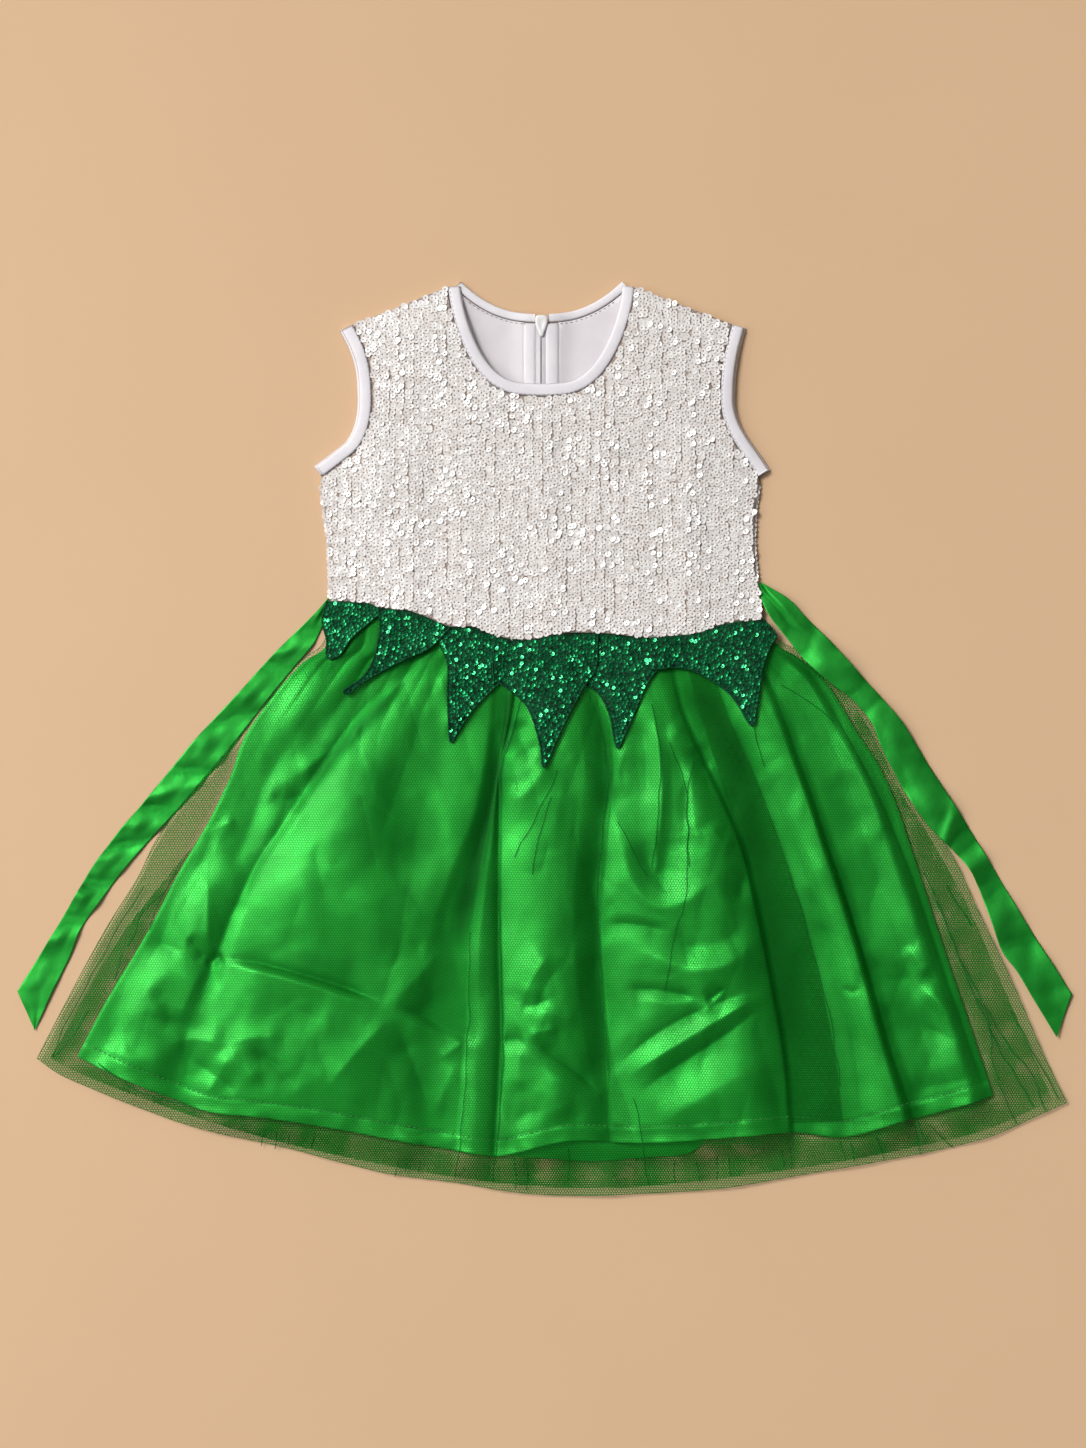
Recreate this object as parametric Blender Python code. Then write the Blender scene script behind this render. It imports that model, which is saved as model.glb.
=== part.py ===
"""A child's sleeveless costume dress, laid out flat on its back with the neck towards +Y.

A sequinned bodice is sewn to a satin skirt, a net overskirt and a peplum of six leaves, with a
satin sash end at each side and a concealed zip down the back. Lengths are in millimetres and
objects are in metres. The origin is under the middle of the outline, on the surface it lies on.
Left and right are those of the picture, seen from above.
"""

import math
from collections import namedtuple

import bmesh
import bpy
from mathutils import Vector
from mathutils.geometry import delaunay_2d_cdt

MM = 0.001
SEAM_GAP = 0.3

# Centre back and centre front lie on one line.
CENTRE_X = -2.0
NECK_HALF_WIDTH = 60.0
NECK_TOP_Y = 289.0
NECK_DEPTH = 70.5
NECK_ROUNDNESS_ACROSS = 3.0
NECK_ROUNDNESS_DOWN = 1.4
NECK_STATIONS = 24
BACK_NECK_DROP = 23.0
SHOULDER_NECK_OFFSET = 62.0
BINDING_WIDTH = 8.4
BACK_BINDING_WIDTH = 6.0
BACK_BINDING_START = 4.4
BACK_BINDING_END = 53.0
BEND_OFFSETS = (3.0, 6.0, 9.0, 12.0, 15.0, 18.0, 22.0, 30.0, 38.0, 46.0)
BINDING_WALL = 2.0
BINDING_PROUD = 0.5
BACK_PEEK = 1.5

# Levels of the stacked cloth, from the surface up.
PANEL_WALL = 1.0
LINING_WALL = 1.0
LINING_GAP = 0.5
FRONT_WALL = 1.4
FRONT_EDGE_Z = PANEL_WALL + LINING_GAP + LINING_WALL + SEAM_GAP
FRONT_CROWN = 4.4
SHOULDER_SETTLE = 30.0
FLAT_WALL = 1.0
SATIN_WALL = 1.4
TULLE_WALL = 1.3
SATIN_BOTTOM_Z = 2 * FLAT_WALL + 2 * SEAM_GAP
LAYER_GAP = 0.7
TULLE_SIDE_Z = 2.2
SIDE_RAMP_START = 2.0
SIDE_RAMP = 16.0
LEAF_WALL = 1.2
LEAF_GAP = 0.9
LEAF_OVERLAP_STEP = 1.7
SASH_WALL = 1.2

# The zip, seen from the inside above the back panels, with its pull outside below them.
ZIP_RISE = 2.4
ZIP_RISE_FLAT = 6.0
ZIP_RISE_SLOPE = 16.0
ZIP_SPLIT = 0.9
TAPE_INNER = 2.0
TAPE_OUTER = 10.5
TAPE_WALL = 1.0
COIL_HALF_WIDTH = 1.7
COIL_HEIGHT = 1.2
SLIDER_TOP_Y = 271.0
SLIDER_LENGTH = 14.0
SLIDER_WIDTH = 8.2
SLIDER_TAIL_WIDTH = 3.6
SLIDER_WALL = 1.8
BRIDGE_WIDTH = 1.0
BRIDGE_LENGTH = 2.8
PULL_AXIS_Z = 1.45
PULL_AXIS_SET_BACK = 5.0
PULL_WALL = 0.9
PULL_LENGTH = 24.0
PULL_WIDTH = 6.4
PULL_EYE_WIDTH = 2.4
PULL_EYE_LENGTH = 2.6
LUG_HOLE = 1.7
LUG_BOTTOM_Z = 0.15

# The bodice from the shoulder point down its side: where the sequinned cloth ends.
SideRow = namedtuple("SideRow", "y left right")
ARMHOLE_ROWS = (
    SideRow(265.0, -122.0, 119.5),
    SideRow(252.0, -115.5, 116.0),
    SideRow(239.0, -111.5, 113.5),
    SideRow(225.0, -110.0, 112.3),
    SideRow(211.0, -110.0, 112.6),
    SideRow(198.0, -112.5, 116.5),
    SideRow(186.0, -118.5, 123.5),
    SideRow(177.0, -129.0, 130.0),
    SideRow(168.0, -141.0, 136.0),
)
SIDE_SEAM_ROWS = (
    SideRow(166.0, -143.0, 137.0),
    SideRow(149.0, -141.0, 134.5),
    SideRow(127.0, -138.0, 133.4),
    SideRow(106.0, -137.0, 135.0),
)
WAIST_POINTS = (
    (-135.0, 88.6), (-114.0, 87.4), (-105.0, 84.2), (-89.0, 82.9), (-74.6, 77.8), (-60.5, 72.0),
    (-46.5, 72.3), (-26.0, 65.0), (-9.3, 63.7), (10.8, 67.8), (39.3, 67.8), (66.2, 65.0),
    (96.3, 67.8), (114.8, 73.9), (139.8, 77.1),
)
BACK_WAIST_Y = 80.0

# The satin front's free edges: down its left side, along the hem, and up its right side.
SATIN_LEFT = (
    (-138.6, 61.1), (-154.6, 49.0), (-171.3, 30.4), (-191.4, 2.2), (-201.3, -24.6),
    (-216.1, -55.0), (-234.0, -85.4), (-254.5, -124.5), (-281.3, -169.3), (-298.6, -202.6),
)
SATIN_HEM = (
    (-273.7, -214.4), (-242.3, -227.5), (-214.8, -237.1), (-177.7, -241.0), (-134.1, -248.0),
    (-81.0, -258.2), (-36.2, -265.3), (-22.1, -264.6), (-1.0, -258.9), (19.5, -255.4),
    (47.0, -257.0), (82.2, -256.1), (111.0, -253.8), (156.4, -250.6), (192.3, -253.8),
    (227.5, -243.5), (245.4, -239.7), (286.3, -227.5),
)
SATIN_RIGHT = (
    (272.3, -184.6), (259.5, -147.2), (242.2, -94.4), (231.9, -63.0), (223.0, -37.4),
    (212.7, -15.0), (200.6, 2.9), (187.8, 24.6), (176.3, 40.6), (162.2, 52.2), (148.1, 61.1),
)
BACK_SATIN_HEM = (
    (-272.0, -212.0), (-214.0, -235.0), (-134.0, -246.0), (-81.0, -256.0), (-36.0, -264.0),
    (0.0, -267.5), (30.0, -269.5), (67.0, -267.0), (92.0, -264.5), (111.0, -252.0),
    (156.0, -249.0), (192.0, -251.0), (245.0, -238.0), (283.0, -226.0),
)
BACK_SATIN_INSET = 1.5

TULLE_LEFT = (
    (-141.0, 62.0), (-158.5, 47.0), (-198.0, -1.0), (-242.3, -55.0), (-260.9, -89.9),
    (-281.3, -122.6), (-307.6, -171.2), (-324.2, -203.8),
)
TULLE_HEM = (
    (-309.5, -214.1), (-287.1, -223.7), (-260.2, -234.6), (-232.1, -244.8), (-201.3, -253.1),
    (-164.9, -260.8), (-105.3, -276.2), (-56.7, -283.2), (-15.1, -289.6), (19.5, -291.5),
    (61.1, -290.2), (111.0, -287.0), (165.4, -278.1), (240.3, -264.6), (284.4, -253.8),
    (316.4, -239.7), (333.7, -232.0),
)
TULLE_RIGHT = (
    (316.4, -195.5), (298.8, -154.6), (277.4, -109.8), (264.6, -81.6), (255.6, -66.0),
    (236.0, -33.0), (221.0, -3.0), (203.0, 24.0), (170.0, 53.0), (150.0, 63.0),
)
BACK_TULLE_LEFT = (
    (-138.0, 60.0), (-153.0, 48.0), (-170.0, 28.0), (-190.0, 1.0), (-200.0, -25.0),
    (-215.0, -55.0), (-240.0, -86.0), (-270.0, -124.0), (-298.0, -171.0), (-316.0, -204.0),
)
BACK_TULLE_HEM = (
    (-285.0, -219.0), (-200.0, -249.0), (-104.0, -272.0), (-15.0, -285.0), (61.0, -286.0),
    (165.0, -274.0), (240.0, -260.0), (284.0, -249.0), (325.0, -231.0),
)
BACK_TULLE_RIGHT = (
    (292.0, -155.0), (270.0, -105.0), (246.0, -62.0), (228.0, -34.0), (213.0, -3.0),
    (196.0, 24.0), (168.0, 50.0), (150.0, 60.0),
)

# Each fold of the satin lies between two lines, given where they cross the waist, the middle and
# the hem. It rises over rise_left and rise_right to a height that changes on the way down.
Fold = namedtuple(
    "Fold",
    "name left_top left_mid left_hem right_top right_mid right_hem"
    " rise_left rise_right height_top height_mid height_hem",
)
FOLDS = (
    Fold("left_side", -137, -228, -300, -80, -200, -236, 16, 30, 0.3, 2.5, 3.5),
    Fold("left_big", -74, -194, -236, -26, -58, -74, 14, 12, 1.2, 9.5, 6.0),
    Fold("left_inner", -48, -76, -100, -18, -32, -40, 16, 16, 0.8, 2.5, 5.0),
    Fold("centre_left", -20, -30, -28, 22, 30, 34, 10, 36, 1.2, 8.5, 8.0),
    Fold("centre_right", 16, 34, 38, 76, 96, 106, 22, 30, 0.8, 5.0, 3.5),
    Fold("right_front", 44, 58, 62, 90, 135, 158, 44, 13, 1.2, 11.5, 11.0),
    Fold("right_second", 92, 157, 190, 132, 192, 237, 12, 22, 1.0, 8.0, 7.5),
    Fold("right_side", 132, 196, 228, 150, 236, 280, 14, 16, 0.3, 3.5, 4.0),
)
FOLD_TOP_Y = 66.0
FOLD_HEM_Y = -258.0
FOLD_BLEND = 3.0
SATIN_EDGE_SETTLE = 16.0
HEM_WAVE_HEIGHT = 0.9
HEM_WAVE_LENGTH = 58.0

# A leaf hangs from the waist seam between two roots. Its edge runs from the left root down round
# the tip and up to the right root.
Leaf = namedtuple("Leaf", "name root_left root_right edge")
LEAVES = (
    Leaf("peplum_leaf_1", -139.0, -101.0,
         ((-142.0, 75.8), (-139.0, 63.7), (-139.3, 54.5), (-136.4, 51.5), (-130.0, 54.5),
          (-124.5, 63.0), (-118.0, 69.5), (-107.0, 78.5))),
    Leaf("peplum_leaf_2", -106.0, -60.0,
         ((-104.7, 72.6), (-106.6, 59.8), (-109.8, 49.0), (-116.2, 39.4), (-128.0, 31.0),
          (-123.9, 29.4), (-119.4, 34.2), (-103.4, 43.8), (-88.7, 51.2), (-73.0, 58.6))),
    Leaf("peplum_leaf_3", -72.0, -18.0,
         ((-67.5, 62.0), (-61.8, 49.0), (-61.8, 32.3), (-61.2, 14.1), (-59.9, -1.6),
          (-54.8, 5.4), (-45.2, 19.5), (-29.2, 35.8), (-20.0, 46.0))),
    Leaf("peplum_leaf_4", -31.0, 34.0,
         ((-33.0, 44.0), (-28.5, 36.2), (-15.1, 25.9), (-8.1, 15.0), (-2.6, -4.2),
          (-0.4, -17.6), (7.9, 0.3), (18.2, 21.4), (26.5, 35.8), (33.0, 46.0))),
    Leaf("peplum_leaf_5", 18.0, 76.0,
         ((20.0, 46.0), (26.5, 35.8), (34.2, 29.8), (39.3, 21.4), (42.5, 11.8), (46.3, -5.4),
          (52.1, 5.4), (59.8, 22.7), (66.2, 37.4), (73.0, 47.0))),
    Leaf("peplum_leaf_6", 60.0, 139.6,
         ((64.0, 48.0), (71.3, 44.8), (80.9, 46.0), (92.4, 44.8), (103.3, 39.4), (116.1, 31.0),
          (123.1, 22.7), (132.1, 8.6), (135.0, 20.0), (139.1, 45.8), (143.6, 58.6),
          (147.5, 67.0))),
)

# Each sash end, from the side seam to its slanted point. Outer is away from the skirt.
SashRow = namedtuple("SashRow", "y outer inner")
LEFT_SASH_ROWS = (
    SashRow(91.0, -138.0, -137.4), SashRow(81.0, -146.5, -139.5), SashRow(63.0, -165.0, -146.5),
    SashRow(47.0, -180.5, -159.5), SashRow(30.0, -195.5, -173.5), SashRow(4.0, -220.0, -193.5),
    SashRow(-14.0, -235.0, -207.5), SashRow(-42.0, -258.0, -232.0),
    SashRow(-59.0, -272.5, -247.5), SashRow(-82.0, -289.5, -268.0),
    SashRow(-104.0, -302.5, -284.5), SashRow(-121.0, -312.5, -296.5),
    SashRow(-139.0, -323.5, -303.5), SashRow(-161.0, -337.0, -314.5),
)
LEFT_SASH_TIP = (-326.1, -186.0)
RIGHT_SASH_ROWS = (
    SashRow(100.0, 139.5, 137.0), SashRow(90.0, 156.0, 138.5), SashRow(79.0, 166.5, 143.5),
    SashRow(63.0, 182.7, 156.0), SashRow(50.0, 194.5, 166.5), SashRow(37.0, 206.0, 181.0),
    SashRow(25.0, 217.0, 197.0), SashRow(11.0, 228.7, 208.5), SashRow(-4.0, 238.0, 214.5),
    SashRow(-19.0, 247.3, 222.0), SashRow(-36.0, 258.5, 231.5), SashRow(-55.0, 270.5, 245.0),
    SashRow(-78.0, 284.5, 267.5), SashRow(-93.0, 293.5, 276.5), SashRow(-113.0, 305.5, 284.0),
    SashRow(-135.0, 319.5, 292.0), SashRow(-148.0, 328.0, 301.5), SashRow(-163.0, 337.3, 310.5),
)
RIGHT_SASH_TIP = (327.3, -190.4)
SASH_PUCKER_HEIGHT = 1.1
SASH_PUCKER_LENGTH = 34.0
SASH_COLUMNS = 5
SASH_GAP = 1.4
SASH_FALL_START = 1.5
SASH_FALL = 9.0

COLOURS = {
    "white_sequin": ((0.72, 0.68, 0.64), 0.35, 0.3),
    "white_binding": ((0.80, 0.76, 0.78), 0.7, 0.0),
    "white_lining": ((0.74, 0.69, 0.72), 0.8, 0.0),
    "green_satin": ((0.03, 0.36, 0.05), 0.35, 0.0),
    "green_net": ((0.10, 0.28, 0.06), 0.8, 0.0),
    "green_sequin": ((0.01, 0.16, 0.06), 0.35, 0.3),
    "white_nylon": ((0.80, 0.79, 0.80), 0.45, 0.0),
    "white_enamel": ((0.84, 0.83, 0.82), 0.3, 0.0),
}


def clear_scene():
    for obj in list(bpy.data.objects):
        bpy.data.objects.remove(obj, do_unlink=True)


def material(name):
    found = bpy.data.materials.get(name)
    if found:
        return found
    colour, roughness, metallic = COLOURS[name]
    made = bpy.data.materials.new(name)
    made.use_nodes = True
    shader = made.node_tree.nodes["Principled BSDF"]
    shader.inputs["Base Color"].default_value = (*colour, 1.0)
    shader.inputs["Roughness"].default_value = roughness
    shader.inputs["Metallic"].default_value = metallic
    return made


def add_object(name, data, material_name, collection):
    data.materials.clear()
    data.materials.append(material(material_name))
    obj = bpy.data.objects.new(name, data)
    collection.objects.link(obj)
    return obj


def smooth(t):
    t = min(max(t, 0.0), 1.0)
    return t * t * (3.0 - 2.0 * t)


def curved(points, steps=2, closed=False):
    """The points joined by a Catmull-Rom curve, with this many stretches between each two."""
    ring = [Vector(p) for p in points]
    last = len(ring) if closed else len(ring) - 1
    result = []
    for i in range(last):
        here, after = ring[i], ring[(i + 1) % len(ring)]
        before = ring[i - 1] if i or closed else here
        beyond = ring[(i + 2) % len(ring)] if i + 2 < len(ring) or closed else after
        for step in range(steps):
            t = step / steps
            result.append(
                0.5 * (2 * here + (after - before) * t
                       + (2 * before - 5 * here + 4 * after - beyond) * t * t
                       + (3 * here - before - 3 * after + beyond) * t * t * t)
            )
    if not closed:
        result.append(ring[-1])
    return result


def read_line(rows, at):
    """Interpolates rows of (position, value), which run either way, at a position."""
    ordered = sorted(rows)
    if at <= ordered[0][0]:
        return ordered[0][1]
    for (low, low_value), (high, high_value) in zip(ordered, ordered[1:]):
        if at <= high:
            return low_value + (high_value - low_value) * (at - low) / (high - low)
    return ordered[-1][1]


def edge_distance(point, outline):
    """Distance from an outline, positive inside it and negative outside."""
    nearest = math.inf
    inside = False
    for i, end in enumerate(outline):
        start = outline[i - 1]
        along = end - start
        t = min(max((point - start).dot(along) / max(along.length_squared, 1e-12), 0.0), 1.0)
        nearest = min(nearest, (start + along * t - point).length)
        if (start.y > point.y) != (end.y > point.y):
            crossing = start.x + (point.y - start.y) / (end.y - start.y) * (end.x - start.x)
            if point.x < crossing:
                inside = not inside
    return nearest if inside else -nearest


def offset_line(points, distance):
    """An open line moved sideways, to the left of its direction where distance is positive."""
    moved = []
    for i, point in enumerate(points):
        ahead = points[min(i + 1, len(points) - 1)] - points[max(i - 1, 0)]
        moved.append(point + Vector((-ahead.y, ahead.x)).normalized() * distance)
    return moved


def lattice(outline, across, along):
    """Staggered points inside an outline, kept off its edge."""
    low_x = min(p.x for p in outline)
    high_x = max(p.x for p in outline)
    low_y = min(p.y for p in outline)
    high_y = max(p.y for p in outline)
    margin = 0.42 * min(across, along)
    points = []
    for row in range(int((high_y - low_y) / along) + 2):
        y = low_y + row * along
        shift = 0.5 * across * (row % 2)
        for column in range(int((high_x - low_x) / across) + 2):
            point = Vector((low_x + column * across + shift, y))
            if edge_distance(point, outline) > margin:
                points.append(point)
    return points


def fan_lattice(outline, columns, rows, guide=None):
    """Points on lines that fan out from the waist to the hem, as the folds run."""
    points = []
    margin = 3.2
    for row in range(rows + 1):
        down = row / rows
        y = 86.0 + (-290.0 - 86.0) * down
        left = read_line([(p[1], p[0]) for p in TULLE_LEFT], y)
        right = read_line([(p[1], p[0]) for p in TULLE_RIGHT], y)
        for column in range(columns + 1):
            point = Vector((left + (right - left) * column / columns, y))
            if edge_distance(point, outline) < margin:
                continue
            if guide and abs(edge_distance(point, guide)) < margin:
                continue
            points.append(point)
    return points


def sheet(name, outline, top, wall, material_name, collection, inner, guide=()):
    """A cloth wall: the outline and the points inside it joined by triangles, raised to the
    height top(x, y) and given its thickness below that."""
    corners = list(outline) + list(inner)
    edges = [(i, (i + 1) % len(outline)) for i in range(len(outline))]
    if guide:
        first = len(corners)
        kept = [p for p in guide if edge_distance(p, outline) > 1.0]
        corners += kept
        edges += [
            (first + i, first + i + 1) for i in range(len(kept) - 1)
            if (kept[i + 1] - kept[i]).length < 60.0
        ]
    points, _, faces, _, _, _ = delaunay_2d_cdt(corners, edges, [], 1, 1e-4)
    mesh = bpy.data.meshes.new(name)
    raised = [(p.x * MM, p.y * MM, top(p.x, p.y) * MM) for p in points]
    mesh.from_pydata(raised, [], faces)
    build = bmesh.new()
    build.from_mesh(mesh)
    bmesh.ops.recalc_face_normals(build, faces=build.faces[:])
    if build.faces[0].normal.z < 0:
        bmesh.ops.reverse_faces(build, faces=build.faces[:])
    walled = bmesh.ops.extrude_face_region(build, geom=build.faces[:], use_keep_orig=True)
    lower = [item for item in walled["geom"] if isinstance(item, bmesh.types.BMVert)]
    bmesh.ops.translate(build, verts=lower, vec=(0.0, 0.0, -wall * MM))
    bmesh.ops.recalc_face_normals(build, faces=build.faces[:])
    build.to_mesh(mesh)
    build.free()
    mesh.shade_smooth()
    mesh.set_sharp_from_angle(angle=math.radians(50.0))
    return add_object(name, mesh, material_name, collection)


def flat_sheet(name, outline, bottom, wall, material_name, collection):
    """A flat cloth layer, as a filled 2D curve with a thickness."""
    curve = bpy.data.curves.new(name, "CURVE")
    curve.dimensions = "2D"
    curve.fill_mode = "BOTH"
    curve.extrude = 0.5 * wall * MM
    spline = curve.splines.new("POLY")
    spline.points.add(len(outline) - 1)
    for place, point in zip(spline.points, outline):
        place.co = (point.x * MM, point.y * MM, 0.0, 1.0)
    spline.use_cyclic_u = True
    obj = add_object(name, curve, material_name, collection)
    obj.location.z = (bottom + 0.5 * wall) * MM
    return obj


def neck_line():
    """The front neck edge of the sequinned cloth, from the left shoulder round to the right."""
    points = []
    for i in range(NECK_STATIONS + 1):
        angle = math.pi * (i / NECK_STATIONS - 0.5)
        across = math.copysign(abs(math.sin(angle)) ** (2 / NECK_ROUNDNESS_ACROSS), angle)
        down = abs(math.cos(angle)) ** (2 / NECK_ROUNDNESS_DOWN)
        points.append(
            Vector((CENTRE_X + NECK_HALF_WIDTH * across, NECK_TOP_Y - NECK_DEPTH * down))
        )
    return points


def back_neck_y(x):
    """The lower edge of the back neck binding, where the back panels start."""
    across = abs(x - CENTRE_X) / (SHOULDER_NECK_OFFSET - 6.0)
    return NECK_TOP_Y - BACK_NECK_DROP * max(1.0 - across ** 2.4, 0.0)


def back_neck_line(side, start, end):
    """Points along the back neck, from beside the zip outwards, closest where the back bends."""
    sign = -1 if side == "left" else 1
    offsets = [start] + [at for at in BEND_OFFSETS if start + 1.0 < at < end - 2.0] + [end]
    return [Vector((CENTRE_X + sign * at, back_neck_y(CENTRE_X + sign * at))) for at in offsets]


def armhole_line(side, outward=0.0):
    """The sequinned cloth's armhole edge, from the shoulder down to the side seam."""
    sign = -1 if side == "left" else 1
    return curved([(getattr(row, side) + sign * outward, row.y) for row in ARMHOLE_ROWS], 1)


def side_line(side, outward=0.0):
    sign = -1 if side == "left" else 1
    return [Vector((getattr(row, side) + sign * outward, row.y)) for row in SIDE_SEAM_ROWS]


def side_x(y, side):
    rows = [(row.y, getattr(row, side)) for row in ARMHOLE_ROWS[-1:] + SIDE_SEAM_ROWS]
    return read_line(rows, y)


def shoulder_y(x):
    """The shoulder seam slopes down from the neck to the armhole."""
    run = (abs(x - CENTRE_X) - SHOULDER_NECK_OFFSET) / 64.0
    return NECK_TOP_Y - 23.5 * max(run, 0.0) ** 1.15


def front_outline():
    left, right = armhole_line("left"), armhole_line("right")
    waist = [Vector(p) for p in WAIST_POINTS]
    return (
        neck_line() + right + side_line("right") + waist[::-1]
        + side_line("left")[::-1] + left[::-1]
    )


def front_bottom(x, y):
    """Underside of the front: a low crown that settles to the sides and the shoulders."""
    half = max(side_x(y, "right") - CENTRE_X, CENTRE_X - side_x(y, "left"))
    across = min(abs(x - CENTRE_X) / half, 1.0)
    settle = smooth((shoulder_y(x) + 2.0 - y) / SHOULDER_SETTLE)
    return FRONT_EDGE_Z + FRONT_CROWN * (1.0 - across ** 3) * settle


def front_top(x, y):
    return front_bottom(x, y) + FRONT_WALL


def zip_rise(x):
    """How far the concealed zip and its pull lift the back from the surface."""
    return ZIP_RISE * (1.0 - smooth((abs(x - CENTRE_X) - ZIP_RISE_FLAT) / ZIP_RISE_SLOPE))


def panel_top(x, y):
    return zip_rise(x) + PANEL_WALL


def lining_top(x, y):
    return panel_top(x, y) + LINING_GAP + LINING_WALL


def back_outline(side, inner, inset=0.0):
    """Half of the bodice back, from inner beside the zip out to its side seam."""
    sign = -1 if side == "left" else 1
    neck = back_neck_line(side, inner, SHOULDER_NECK_OFFSET - 1.0)
    down = armhole_line(side, BACK_PEEK - inset) + side_line(side, 0.5 - inset)
    corner = Vector((side_x(BACK_WAIST_Y, side) - sign * inset, BACK_WAIST_Y))
    waist = [Vector((point.x, BACK_WAIST_Y)) for point in neck[::-1]]
    return neck + down + [corner] + waist


def band(line, distance):
    """The outline and middle line of a band that lies on one side of a line."""
    sign = math.copysign(1.0, distance)
    near = offset_line(line, sign * SEAM_GAP)
    far = offset_line(line, distance)
    middle = offset_line(line, 0.5 * (distance + sign * SEAM_GAP))
    return near + far[::-1], middle[1:-1]


def raised_band(name, line, distance, base, collection):
    """A bias binding: a band with a slightly rounded top."""
    outline, middle = band(line, distance)
    crest = {(round(p.x, 2), round(p.y, 2)) for p in middle}

    def top(x, y):
        proud = BINDING_PROUD if (round(x, 2), round(y, 2)) in crest else 0.0
        return base(x, y) + proud

    return sheet(name, outline, top, BINDING_WALL, "white_binding", collection, middle)


def add_bodice(collection):
    outline = front_outline()
    sheet("bodice_front", outline, front_top, FRONT_WALL, "white_sequin", collection,
          lattice(outline, 15.0, 13.0))
    for side in ("left", "right"):
        panel = back_outline(side, ZIP_SPLIT)
        sheet(f"bodice_back_{side}", panel, panel_top, PANEL_WALL, "white_sequin", collection,
              bend_columns(side, panel))
        lining = back_outline(side, TAPE_OUTER + SEAM_GAP, 1.0)
        sheet(f"lining_back_{side}", lining, lining_top, LINING_WALL, "white_lining",
              collection, bend_columns(side, lining))


def bend_columns(side, outline):
    """Points in straight columns beside the zip, where the back bends."""
    sign = -1 if side == "left" else 1
    points = []
    for offset in BEND_OFFSETS[:7]:
        x = CENTRE_X + sign * offset
        top = back_neck_y(x) - BACK_WAIST_Y
        points += [Vector((x, BACK_WAIST_Y + top * i / 9)) for i in range(1, 9)]
    return [point for point in points if edge_distance(point, outline) > 1.0]


def binding_base(x, y):
    return front_top(x, y) + 0.2


def back_binding_base(x, y):
    return zip_rise(x) + BINDING_WALL + 0.1


def add_bindings(collection):
    raised_band("neck_binding_front", neck_line(), BINDING_WIDTH, binding_base, collection)
    for side in ("left", "right"):
        sign = -1 if side == "left" else 1
        line = back_neck_line(side, BACK_BINDING_START, BACK_BINDING_END)
        raised_band(f"neck_binding_back_{side}", line, sign * BACK_BINDING_WIDTH,
                    back_binding_base, collection)
        raised_band(f"armhole_binding_front_{side}", armhole_line(side), sign * BINDING_WIDTH,
                    binding_base, collection)
        raised_band(f"armhole_binding_back_{side}", armhole_line(side, BACK_PEEK),
                    sign * BINDING_WIDTH, lambda x, y: BINDING_WALL, collection)


def box(name, low, high, material_name, collection):
    mesh = bpy.data.meshes.new(name)
    build = bmesh.new()
    bmesh.ops.create_cube(build, size=1.0)
    size = Vector(high) - Vector(low)
    bmesh.ops.scale(build, verts=build.verts[:], vec=size * MM)
    build.to_mesh(mesh)
    build.free()
    obj = add_object(name, mesh, material_name, collection)
    obj.location = 0.5 * (Vector(low) + Vector(high)) * MM
    return obj


def plate(name, outline, bottom, wall, material_name, collection):
    """A hard flat plate with an even outline, as a mesh that can be cut and joined."""
    mesh = bpy.data.meshes.new(name)
    build = bmesh.new()
    corners = [build.verts.new((p.x * MM, p.y * MM, bottom * MM)) for p in outline]
    face = build.faces.new(corners)
    grown = bmesh.ops.extrude_face_region(build, geom=[face], use_keep_orig=True)
    upper = [item for item in grown["geom"] if isinstance(item, bmesh.types.BMVert)]
    bmesh.ops.translate(build, verts=upper, vec=(0.0, 0.0, wall * MM))
    bmesh.ops.recalc_face_normals(build, faces=build.faces[:])
    build.to_mesh(mesh)
    build.free()
    return add_object(name, mesh, material_name, collection)


def combine(obj, other, operation):
    """Applies a Boolean with a helper object, then removes the helper."""
    change = obj.modifiers.new(operation.lower(), "BOOLEAN")
    change.operation = operation
    change.object = other
    bpy.context.view_layer.update()
    evaluated = obj.evaluated_get(bpy.context.evaluated_depsgraph_get())
    mesh = bpy.data.meshes.new_from_object(evaluated)
    obj.modifiers.clear()
    obj.data = mesh
    bpy.data.objects.remove(other, do_unlink=True)


def slider_outline():
    """The slider seen from the inside: a shield, wide where the two coils enter it."""
    half, tail = 0.5 * SLIDER_WIDTH, 0.5 * SLIDER_TAIL_WIDTH
    right = [
        (0.35 * half, 0.0), (0.85 * half, -0.6), (half, -2.2), (0.96 * half, -5.0),
        (0.75 * half, -8.0), (tail, -11.0), (0.7 * tail, -13.2), (0.0, -SLIDER_LENGTH),
    ]
    left = [(-x, y) for x, y in right[-2::-1]]
    return [Vector((CENTRE_X + x, SLIDER_TOP_Y + y)) for x, y in right + left]


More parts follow.
